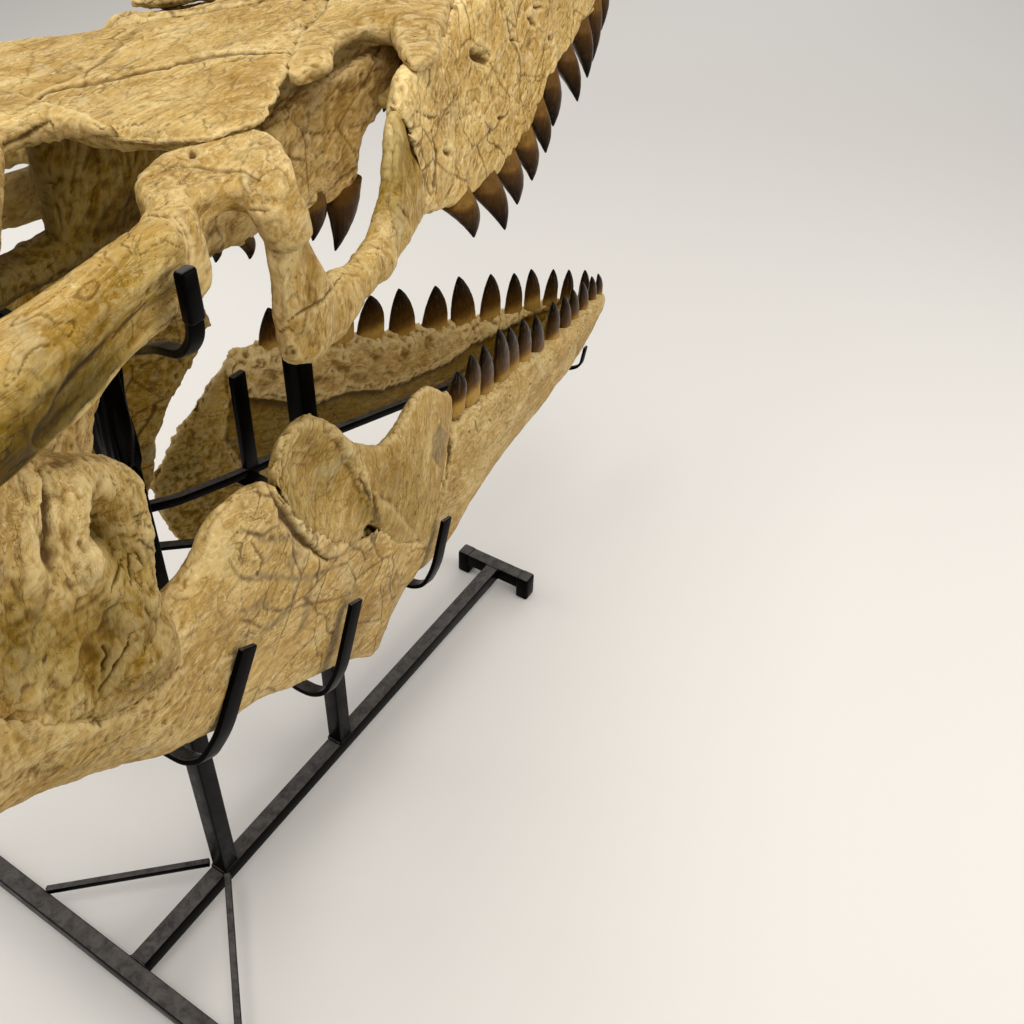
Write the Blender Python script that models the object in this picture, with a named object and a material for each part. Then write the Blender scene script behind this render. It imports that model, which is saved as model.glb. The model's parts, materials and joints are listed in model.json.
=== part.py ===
"""Mosasaur skull, mouth open, on its welded square-tube stand.

Sizes are given with +X towards the snout, +Y to the animal's left, +Z up, metres, floor at z = 0 and the rear
cross-beam at x = 0; the finished pieces are then moved along X so that the object stands centred on the origin.
Bones are lofts of oval sections.  Neighbours are modelled overlapping, then one is trimmed with a copy of the
other grown by GAP, so every seam is a thin open line.  "w" below always means distance out from the mid plane.
"""
import bpy
import bmesh
import math
import numpy as np
from mathutils import Vector

# ------------------------------------------------------------------ driving sizes
GAP = 0.0004                 # open seam between neighbouring pieces
JAW_W0, JAW_X0, JAW_SLOPE = 0.1433, 0.54, -0.204      # tooth row: w = W0 + SLOPE (x - X0)
ROOF_Z = 1.093               # skull roof
TUBE = 0.025                 # square tube of the stand
BEAM_Z = 0.0333              # centre height of the floor beams
BEAM_LEN = 0.888             # rear cross-beam to T foot
T_FOOT = 0.142               # width of the T foot
REAR_HALF = 0.333            # half length of the rear cross-beam
POST_REAR_X, POST_REAR_TOP = 0.175, 0.935
SLEEVE = ((0.738, 0.175, 0, 0.0135, 0.0135), (0.758, 0.175, 0, 0.0180, 0.0185), (0.800, 0.174, 0, 0.0205, 0.0215),
          (0.862, 0.174, 0, 0.0205, 0.0225), (0.928, 0.175, 0, 0.0190, 0.0205))     # black wrap round the rear post
POST_FRONT_X, POST_FRONT_TOP = 0.429, 0.945
BRACE = 0.009
STRAP_W, STRAP_T = 0.018, 0.005
STRAP_OUT = 0.022            # outer face of a jaw strap beyond the tooth row

# crowns: gum centre (along, out from the mid plane, height), tip, half length along the row, half width across it
UPPER_CROWNS = (
    (0.518, 0.156, 0.934, 0.524, 0.175, 0.896, 0.0230, 0.0170), (0.595, 0.139, 0.919, 0.601, 0.166, 0.871, 0.0245, 0.0175),
    (0.660, 0.125, 0.916, 0.666, 0.143, 0.870, 0.0240, 0.0175), (0.718, 0.112, 0.922, 0.725, 0.128, 0.874, 0.0215, 0.0180),
    (0.762, 0.102, 0.941, 0.768, 0.121, 0.892, 0.0195, 0.0175), (0.807, 0.092, 0.961, 0.813, 0.105, 0.907, 0.0215, 0.0175),
    (0.878, 0.074, 0.970, 0.884, 0.100, 0.916, 0.0230, 0.0175), (0.949, 0.058, 0.983, 0.955, 0.076, 0.922, 0.0215, 0.0165),
    (1.010, 0.044, 0.994, 1.020, 0.049, 0.921, 0.0190, 0.0145), (1.054, 0.034, 1.008, 1.062, 0.037, 0.948, 0.0170, 0.0125))
LOWER_CROWNS_R = (
    (0.535, 0.144, 0.676, 0.541, 0.143, 0.710, 0.0180, 0.0105), (0.585, 0.134, 0.658, 0.584, 0.134, 0.707, 0.0205, 0.0085),
    (0.633, 0.124, 0.632, 0.625, 0.126, 0.696, 0.0205, 0.0085), (0.691, 0.1125, 0.616, 0.679, 0.115, 0.689, 0.0215, 0.0092),
    (0.735, 0.1035, 0.601, 0.719, 0.107, 0.669, 0.0190, 0.0082), (0.784, 0.0935, 0.588, 0.776, 0.095, 0.649, 0.0205, 0.0092),
    (0.846, 0.081, 0.556, 0.834, 0.083, 0.623, 0.0215, 0.0090), (0.920, 0.066, 0.544, 0.919, 0.066, 0.599, 0.0205, 0.0095),
    (0.990, 0.0515, 0.514, 0.980, 0.053, 0.577, 0.0195, 0.0090), (1.038, 0.0415, 0.506, 1.026, 0.044, 0.564, 0.0180, 0.0085),
    (1.098, 0.0295, 0.490, 1.082, 0.033, 0.548, 0.0170, 0.0078), (1.154, 0.018, 0.474, 1.147, 0.019, 0.525, 0.0150, 0.0072),
    (1.198, 0.010, 0.464, 1.189, 0.011, 0.509, 0.0125, 0.0060))
LOWER_CROWNS_L = (
    (0.535, 0.142, 0.655, 0.536, 0.142, 0.706, 0.0195, 0.0080), (0.592, 0.1305, 0.640, 0.594, 0.130, 0.690, 0.0215, 0.0085),
    (0.645, 0.120, 0.622, 0.648, 0.119, 0.675, 0.0225, 0.0085), (0.698, 0.109, 0.601, 0.701, 0.108, 0.657, 0.0235, 0.0090),
    (0.757, 0.097, 0.572, 0.755, 0.098, 0.646, 0.0240, 0.0090), (0.821, 0.084, 0.550, 0.825, 0.083, 0.623, 0.0250, 0.0095),
    (0.883, 0.071, 0.538, 0.873, 0.073, 0.620, 0.0245, 0.0092), (0.943, 0.059, 0.524, 0.943, 0.059, 0.597, 0.0215, 0.0085),
    (0.999, 0.048, 0.513, 0.997, 0.048, 0.578, 0.0180, 0.0078), (1.044, 0.038, 0.508, 1.039, 0.040, 0.569, 0.0170, 0.0075),
    (1.090, 0.029, 0.491, 1.094, 0.028, 0.548, 0.0155, 0.0070), (1.134, 0.020, 0.475, 1.136, 0.020, 0.531, 0.0148, 0.0065),
    (1.185, 0.0115, 0.464, 1.183, 0.012, 0.512, 0.0125, 0.0060))
PTERYGOID_CROWNS = (
    (0.255, 0.080, 0.972, 0.260, 0.081, 0.955, 0.0080, 0.0060), (0.292, 0.080, 0.966, 0.300, 0.081, 0.941, 0.0100, 0.0080),
    (0.340, 0.080, 0.966, 0.342, 0.081, 0.948, 0.0100, 0.0080), (0.385, 0.082, 0.962, 0.383, 0.083, 0.925, 0.0160, 0.0120),
    (0.431, 0.082, 0.952, 0.413, 0.084, 0.902, 0.0200, 0.0140))
FRONT_CROWNS = (
    (1.102, 0.031, 1.030, 1.110, 0.034, 0.982, 0.0135, 0.0110), (1.143, 0.026, 1.036, 1.151, 0.028, 0.992, 0.0125, 0.0105),
    (1.182, 0.019, 1.041, 1.189, 0.021, 1.004, 0.0110, 0.0090))
UPPER_PLUMP, LOWER_PLUMP = (1.35, 0.95), (2.1, 0.85)     # how full the crowns stay towards the tip

BONE = (0.60, 0.44, 0.22, 1.0)
STEEL = (0.02, 0.02, 0.022, 1.0)


# ------------------------------------------------------------------ scene and helpers
for old in list(bpy.data.objects):
    bpy.data.objects.remove(old, do_unlink=True)
PARTS = bpy.data.collections.new("mosasaur_skull_on_stand")
CUTTERS = bpy.data.collections.new("cutters")
bpy.context.scene.collection.children.link(PARTS)
bpy.context.scene.collection.children.link(CUTTERS)
CUTTERS.hide_render = True
NODES = {}
PIECES = {}


def material(name, colour, rough, metal=0.0):
    m = bpy.data.materials.new(name)
    m.use_nodes = True
    b = m.node_tree.nodes["Principled BSDF"]
    b.inputs["Base Color"].default_value = colour
    b.inputs["Roughness"].default_value = rough
    b.inputs["Metallic"].default_value = metal
    m.diffuse_color = colour
    return m


def finish_mesh(bm):
    bmesh.ops.remove_doubles(bm, verts=bm.verts, dist=1e-6)
    bmesh.ops.recalc_face_normals(bm, faces=bm.faces)


def put(name, bm, collection):
    me = bpy.data.meshes.new(name)
    finish_mesh(bm)
    bmesh.ops.triangulate(bm, faces=bm.faces)
    bm.to_mesh(me)
    bm.free()
    ob = bpy.data.objects.new(name, me)
    collection.objects.link(ob)
    if collection is CUTTERS:
        ob.hide_render = True
        ob.display_type = "WIRE"
    return ob


def skin(bm, rings):
    """Closed skin over a run of rings with the same point count."""
    loops = [[bm.verts.new(p) for p in ring] for ring in rings]
    n = len(loops[0])
    for a, b in zip(loops, loops[1:]):
        for i in range(n):
            j = (i + 1) % n
            bm.faces.new((a[i], a[j], b[j], b[i]))
    bm.faces.new(loops[0][::-1])
    bm.faces.new(loops[-1])


def oval(a, b, tilt, n, e, bow):
    pts = []
    for i in range(n):
        t = 2 * math.pi * (i + 0.5) / n
        c, s = math.cos(t), math.sin(t)
        u = a * math.copysign(abs(c) ** (2 / e), c)
        v = b * math.copysign(abs(s) ** (2 / e), s)
        v -= bow * (u / a) ** 2
        ct, st = math.cos(tilt), math.sin(tilt)
        pts.append((u * ct - v * st, u * st + v * ct))
    return pts


def loft(rows, axis="X", side=-1, n=10, e=2.6, bow=0.0, name="loft"):
    """Ovals along X: (x, w, z, half width, half height, tilt deg); along Z: (z, x, w, half x, half w, tilt deg)."""
    bm = bmesh.new()
    rings = []
    for r in rows:
        p, c1, c2, a, b = r[:5]
        tilt = math.radians(r[5]) if len(r) > 5 else 0.0
        ring = []
        for du, dv in oval(a, b, tilt, n, e, bow):
            if axis == "X":
                ring.append((p, side * (c1 + du), c2 + dv))
            else:
                ring.append((c1 + du, side * (c2 + dv), p))
        rings.append(ring)
    skin(bm, rings)
    return put(name, bm, CUTTERS)


def blade(rows, side=-1, n=10, e=2.6, w_in=0.012, w_out=0.006, name="blade"):
    """Upright jaw blade: rows (x, z low, z high, half thickness), leaning out at the top along the tooth line."""
    out = []
    for x, zb, zt, ht in rows:
        w = jaw_w(x)
        wl, wh = w - w_in, w + w_out
        tilt = math.degrees(math.atan2(wl - wh, zt - zb))
        out.append((x, (wl + wh) / 2, (zb + zt) / 2, ht, (zt - zb) / 2, tilt))
    return loft(out, "X", side, n, e, 0.0, name)


def jaw_w(x):
    return JAW_W0 + JAW_SLOPE * (x - JAW_X0)


def sweep(points, width, thick, axis, name="sweep"):
    """Flat bar along a path; its width lies along axis, its thickness across it, with mitred corners."""
    bm = bmesh.new()
    axis = Vector(axis).normalized()
    pts = [Vector(p) for p in points]
    rings = []
    for i, p in enumerate(pts):
        d = []
        if i:
            d.append((p - pts[i - 1]).normalized())
        if i < len(pts) - 1:
            d.append((pts[i + 1] - p).normalized())
        t = sum(d, Vector()).normalized()
        nrm = axis.cross(t).normalized()
        ax = t.cross(nrm).normalized()
        k = 1.0 / max(0.5, abs(t.dot(d[0])))
        rings.append([p + ax * (sx * width / 2) + nrm * (sy * k * thick / 2)
                      for sx, sy in ((-1, -1), (1, -1), (1, 1), (-1, 1))])
    skin(bm, rings)
    return put(name, bm, CUTTERS)


def box(x0, x1, y0, y1, z0, z1, name="box"):
    bpy.ops.mesh.primitive_cube_add(size=1.0)
    ob = bpy.context.object
    for c in list(ob.users_collection):
        c.objects.unlink(ob)
    CUTTERS.objects.link(ob)
    ob.name = name
    ob.hide_render = True
    ob.display_type = "WIRE"
    ob.data.transform(_scale_move((x1 - x0, y1 - y0, z1 - z0), ((x0 + x1) / 2, (y0 + y1) / 2, (z0 + z1) / 2)))
    return ob


def _scale_move(s, t):
    from mathutils import Matrix
    return Matrix.Translation(t) @ Matrix.Diagonal((*s, 1.0))


def crown(row, side=-1, plump=UPPER_PLUMP, slope=JAW_SLOPE, back=0.004, name="tooth", n=4):
    """Recurved crown, longer along its row than across; the middle bows by back along +x; the root reaches into the bone."""
    xb, wb, zb, xt, wt, zt, a, b = row
    base, tip = Vector((xb, side * wb, zb)), Vector((xt, side * wt, zt))
    mid = base.lerp(tip, 0.55) + Vector((back, 0, 0))
    up = (tip - base).normalized()
    lay = Vector((1, side * slope, 0)).normalized()
    out = Vector((-lay.y, lay.x, 0))
    bm = bmesh.new()
    rings = []
    for centre, r in ((base - up * 0.014, 1.10), (mid, (1 - 0.55 ** plump[0]) ** plump[1]), (tip, 0.10)):
        rings.append([centre + lay * (a * r * math.cos(q)) + out * (b * r * math.sin(q)) for q in (2 * math.pi * i / n for i in range(n))])
    skin(bm, rings)
    return put(name, bm, CUTTERS)


def apply_boolean(target, other, operation):
    m = target.modifiers.new("b", "BOOLEAN")
    m.solver = "EXACT"
    m.operation = operation
    m.object = other
    bpy.context.view_layer.update()
    graph = bpy.context.evaluated_depsgraph_get()
    me = bpy.data.meshes.new_from_object(target.evaluated_get(graph))
    target.modifiers.clear()
    old = target.data
    target.data = me
    bpy.data.meshes.remove(old)
    tidy(target)


def tidy(ob, dist=2e-5):
    """Weld boolean slivers and keep the largest shell."""
    bm = bmesh.new()
    bm.from_mesh(ob.data)
    bmesh.ops.remove_doubles(bm, verts=bm.verts, dist=dist)
    bmesh.ops.dissolve_degenerate(bm, dist=dist, edges=bm.edges)
    bmesh.ops.triangulate(bm, faces=bm.faces)
    seen, shells = set(), []
    for f in bm.faces:
        if f in seen:
            continue
        stack, shell = [f], []
        seen.add(f)
        while stack:
            g = stack.pop()
            shell.append(g)
            for ed in g.edges:
                for h in ed.link_faces:
                    if h not in seen:
                        seen.add(h)
                        stack.append(h)
        shells.append(shell)
    if len(shells) > 1:
        shells.sort(key=lambda s: -volume(s))
        drop = [f for s in shells[1:] for f in s]
        bmesh.ops.delete(bm, geom=drop, context="FACES")
        loose = [v for v in bm.verts if not v.link_faces]
        bmesh.ops.delete(bm, geom=loose, context="VERTS")
    bm.to_mesh(ob.data)
    bm.free()


def volume(faces):
    v = 0.0
    for f in faces:
        a, b, c = (x.co for x in f.verts[:3])
        v += a.dot(b.cross(c)) / 6
    return abs(v)


def join(*obs):
    """Union into the first object; its plain pieces are kept for cutting the neighbours."""
    first = obs[0]
    PIECES[first] = [copy_of(o) for o in obs]
    for o in obs[1:]:
        apply_boolean(first, o, "UNION")
    return first


def copy_of(ob):
    o = bpy.data.objects.new(ob.name + "_piece", ob.data.copy())
    CUTTERS.objects.link(o)
    o.hide_render = True
    o.display_type = "WIRE"
    return o


def grown(ob, by=GAP):
    me = ob.data.copy()
    o = bpy.data.objects.new(ob.name + "_grown", me)
    CUTTERS.objects.link(o)
    o.hide_render = True
    bm = bmesh.new()
    bm.from_mesh(me)
    bm.normal_update()
    moves = []
    for v in bm.verts:
        k = 1.0 / max(0.35, min((v.normal.dot(f.normal) for f in v.link_faces), default=1.0))
        moves.append((v, v.normal * (by * min(k, 2.2))))
    for v, d in moves:
        v.co += d
    bm.to_mesh(me)
    bm.free()
    return o


def trim(ob, *others, by=GAP):
    for other in others:
        for piece in PIECES.get(other, [other]):
            if near(ob, piece):
                apply_boolean(ob, grown(piece, by), "DIFFERENCE")
    return ob


def near(a, b, pad=0.002):
    A = np.array([v.co[:] for v in a.data.vertices])
    B = np.array([v.co[:] for v in b.data.vertices])
    return bool(np.all(A.min(0) - pad < B.max(0)) and np.all(B.min(0) - pad < A.max(0)))


def keep_side(ob, point, normal):
    """Keep the half of ob that lies against normal from point, closed with a flat face."""
    bm = bmesh.new()
    bm.from_mesh(ob.data)
    g = bm.verts[:] + bm.edges[:] + bm.faces[:]
    cut = bmesh.ops.bisect_plane(bm, geom=g, plane_co=point, plane_no=normal, clear_outer=True)
    edges = [x for x in cut["geom_cut"] if isinstance(x, bmesh.types.BMEdge)]
    bmesh.ops.holes_fill(bm, edges=edges)
    bmesh.ops.triangulate(bm, faces=bm.faces)
    finish_mesh(bm)
    bm.to_mesh(ob.data)
    bm.free()
    return ob


def node(name, ob, mat):
    ob.name = name
    ob.data.name = name
    for c in list(ob.users_collection):
        c.objects.unlink(ob)
    PARTS.objects.link(ob)
    ob.hide_render = False
    ob.display_type = "TEXTURED"
    ob.data.materials.clear()
    ob.data.materials.append(material(name, BONE if mat == "bone" else STEEL, 0.65 if mat == "bone" else 0.4))
    NODES[name] = ob
    return ob


# ------------------------------------------------------------------ lower jaw
def lower_teeth(rows, side):
    for row in rows:
        yield crown(row, side, LOWER_PLUMP, back=0.003)


DENTARY_R = (
    (0.400, 0.500, 0.690, 0.012), (0.450, 0.474, 0.680, 0.015), (0.530, 0.458, 0.655, 0.018),
    (0.609, 0.464, 0.632, 0.019), (0.711, 0.456, 0.602, 0.020), (0.800, 0.441, 0.575, 0.020),
    (0.867, 0.428, 0.553, 0.020), (0.960, 0.412, 0.527, 0.019), (1.055, 0.395, 0.502, 0.018),
    (1.125, 0.392, 0.486, 0.016), (1.193, 0.398, 0.470, 0.013), (1.222, 0.414, 0.452, 0.008),
)
DENTARY_L = (
    (0.334, 0.480, 0.532, 0.007), (0.346, 0.428, 0.545, 0.011), (0.372, 0.414, 0.570, 0.014),
    (0.410, 0.416, 0.606, 0.015), (0.452, 0.428, 0.640, 0.016), (0.490, 0.442, 0.662, 0.017),
) + tuple((x, b, t - 0.014 * min(1.0, (x - 0.5) / 0.1), w) for x, b, t, w in DENTARY_R[2:])
REAR_JAW_R = (
    (-0.238, 0.910, 0.950, 0.010), (-0.215, 0.886, 0.955, 0.016), (-0.170, 0.850, 0.935, 0.019),
    (-0.126, 0.820, 0.906, 0.021), (-0.068, 0.767, 0.878, 0.023), (-0.021, 0.719, 0.863, 0.024), (0.018, 0.689, 0.862, 0.022),
    (0.045, 0.666, 0.868, 0.020), (0.068, 0.653, 0.885, 0.018), (0.104, 0.631, 0.882, 0.017), (0.163, 0.583, 0.849, 0.016),
    (0.256, 0.515, 0.800, 0.016), (0.316, 0.468, 0.745, 0.016), (0.345, 0.486, 0.730, 0.016),
    (0.383, 0.490, 0.720, 0.015), (0.453, 0.474, 0.690, 0.014), (0.520, 0.462, 0.640, 0.010),
)
REAR_JAW_L = REAR_JAW_R[:11] + (
    (0.230, 0.545, 0.842, 0.016), (0.296, 0.515, 0.840, 0.015), (0.326, 0.540, 0.832, 0.015),
    (0.352, 0.610, 0.815, 0.014), (0.380, 0.650, 0.790, 0.012), (0.405, 0.672, 0.770, 0.010), (0.428, 0.700, 0.760, 0.007),
)
CORONOID_R = (
    (0.146, 0.842, 0.872, 0.006), (0.160, 0.800, 0.890, 0.010), (0.191, 0.752, 0.890, 0.013),
    (0.231, 0.704, 0.858, 0.014), (0.270, 0.680, 0.808, 0.014), (0.303, 0.662, 0.781, 0.013),
    (0.338, 0.620, 0.761, 0.013), (0.368, 0.595, 0.762, 0.013), (0.401, 0.570, 0.770, 0.013),
    (0.431, 0.545, 0.765, 0.012), (0.468, 0.600, 0.738, 0.010), (0.499, 0.665, 0.714, 0.006),
)
CORONOID_L = (
    (0.178, 0.830, 0.868, 0.006), (0.205, 0.780, 0.886, 0.010), (0.250, 0.740, 0.884, 0.013),
    (0.300, 0.715, 0.878, 0.014), (0.352, 0.690, 0.858, 0.013), (0.395, 0.695, 0.822, 0.012),
    (0.430, 0.700, 0.770, 0.010), (0.458, 0.712, 0.742, 0.006),
)


def lower_jaw(side, dentary_rows, rear_rows, coronoid_rows, xs, tag):
    dentary = blade(dentary_rows, side, n=8, e=2.4, name="dentary" + tag)
    if side < 0:
        seam = Vector((0.070, 0, 0.155)).cross(Vector((0, 1, 0))).normalized()
        seam = -seam if seam.x > 0 else seam
        point = Vector((0.455, 0, 0.560))
        keep_side(dentary, point - seam * (GAP / 2), seam)
    for t in lower_teeth(xs, side):
        apply_boolean(dentary, t, "UNION")
    rear = blade(rear_rows, side, n=8, e=2.3, name="rear_jaw" + tag)
    if side < 0:
        keep_side(rear, point + seam * (GAP / 2), -seam)
    coronoid = blade(coronoid_rows, side, n=8, e=2.2, w_in=-0.004, w_out=0.010, name="coronoid" + tag)
    return dentary, rear, coronoid


dentary_R, rear_R, coronoid_R = lower_jaw(-1, DENTARY_R, REAR_JAW_R, CORONOID_R, LOWER_CROWNS_R, "_R")
dentary_L, rear_L, coronoid_L = lower_jaw(+1, DENTARY_L, REAR_JAW_L, CORONOID_L, LOWER_CROWNS_L, "_L")
for d in (dentary_R, dentary_L):
    side = -1 if d is dentary_R else 1
    keep_side(d, Vector((0, side * GAP / 2, 0)), Vector((0, -side, 0)))

# ------------------------------------------------------------------ skull roof, mid line
frontal = loft((
    (0.152, 0, ROOF_Z, 0.050, 0.009), (0.168, 0, ROOF_Z, 0.094, 0.009), (0.184, 0, ROOF_Z, 0.128, 0.009),
    (0.202, 0, ROOF_Z, 0.153, 0.009), (0.226, 0, ROOF_Z, 0.160, 0.009), (0.250, 0, ROOF_Z, 0.161, 0.009),
    (0.272, 0, ROOF_Z, 0.153, 0.009), (0.296, 0, ROOF_Z, 0.138, 0.010), (0.325, 0, ROOF_Z, 0.118, 0.010),
    (0.366, 0, ROOF_Z, 0.093, 0.011), (0.430, 0, ROOF_Z, 0.058, 0.012),
    (0.485, 0, ROOF_Z, 0.034, 0.013), (0.530, 0, ROOF_Z, 0.014, 0.011)), n=12, e=5.0, bow=0.004, name="frontal")
parietal = join(
    loft(((0.070, 0, 1.094, 0.052, 0.016), (0.100, 0, 1.096, 0.050, 0.016), (0.130, 0, 1.098, 0.046, 0.015),
          (0.150, 0, 1.099, 0.060, 0.013), (0.170, 0, 1.100, 0.105, 0.010)), n=10, e=3.5, name="parietal"),
    loft(((-0.100, 0.238, 1.062, 0.010, 0.014), (-0.070, 0.222, 1.070, 0.016, 0.017), (-0.020, 0.172, 1.080, 0.024, 0.018),
          (0.030, 0.118, 1.088, 0.030, 0.018), (0.075, 0.062, 1.094, 0.034, 0.017), (0.115, 0.025, 1.096, 0.024, 0.014)),
         side=-1, n=8, name="ramus"),
    loft(((-0.100, 0.238, 1.062, 0.010, 0.014), (-0.070, 0.222, 1.070, 0.016, 0.017), (-0.020, 0.172, 1.080, 0.024, 0.018),
          (0.030, 0.118, 1.088, 0.030, 0.018), (0.075, 0.062, 1.094, 0.034, 0.017), (0.115, 0.025, 1.096, 0.024, 0.014)),
         side=1, n=8, name="ramus"))
trim(parietal, frontal)
premaxilla = join(
    loft(((1.045, 0, 1.061, 0.043, 0.041), (1.090, 0, 1.063, 0.042, 0.040), (1.140, 0, 1.066, 0.038, 0.036),
          (1.190, 0, 1.069, 0.029, 0.029), (1.216, 0, 1.070, 0.019, 0.021), (1.229, 0, 1.071, 0.008, 0.010)),
         n=10, e=2.5, name="premaxilla"),
    loft(((0.485, 0, 1.102, 0.010, 0.008), (0.560, 0, 1.104, 0.019, 0.010), (0.700, 0, 1.107, 0.016, 0.010),
          (0.880, 0, 1.107, 0.017, 0.011), (1.000, 0, 1.100, 0.028, 0.014), (1.080, 0, 1.090, 0.034, 0.014)),
         n=8, name="bar"))
for side in (-1, 1):
    for row in FRONT_CROWNS:
        apply_boolean(premaxilla, crown(row, side, UPPER_PLUMP, -0.20, 0.004), "UNION")
trim(premaxilla, frontal)


# ------------------------------------------------------------------ paired skull bones
def upper_teeth(side):
    for row in UPPER_CROWNS:
        yield crown(row, side, UPPER_PLUMP, back=0.005)


def maxilla_rows():
    rows = []
    for x, wl, zl, wu, zu, ht in (
            (0.390, 0.194, 0.990, 0.184, 1.072, 0.008), (0.410, 0.190, 0.970, 0.177, 1.084, 0.011),
            (0.440, 0.181, 0.954, 0.164, 1.090, 0.013), (0.490, 0.168, 0.938, 0.146, 1.094, 0.015),
            (0.560, 0.151, 0.922, 0.118, 1.096, 0.016), (0.670, 0.126, 0.915, 0.093, 1.098, 0.016),
            (0.718, 0.115, 0.922, 0.084, 1.099, 0.016), (0.790, 0.099, 0.955, 0.074, 1.099, 0.016),
            (0.880, 0.078, 0.970, 0.061, 1.098, 0.015), (1.000, 0.051, 0.991, 0.041, 1.093, 0.013),
            (1.085, 0.036, 1.022, 0.030, 1.082, 0.008)):
        tilt = math.degrees(math.atan2(wl - wu, zu - zl))
        rows.append((x, (wl + wu) / 2 - 0.006, (zl + zu) / 2, ht, math.hypot(wl - wu, zu - zl) / 2, tilt))
    return tuple(rows)


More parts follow.
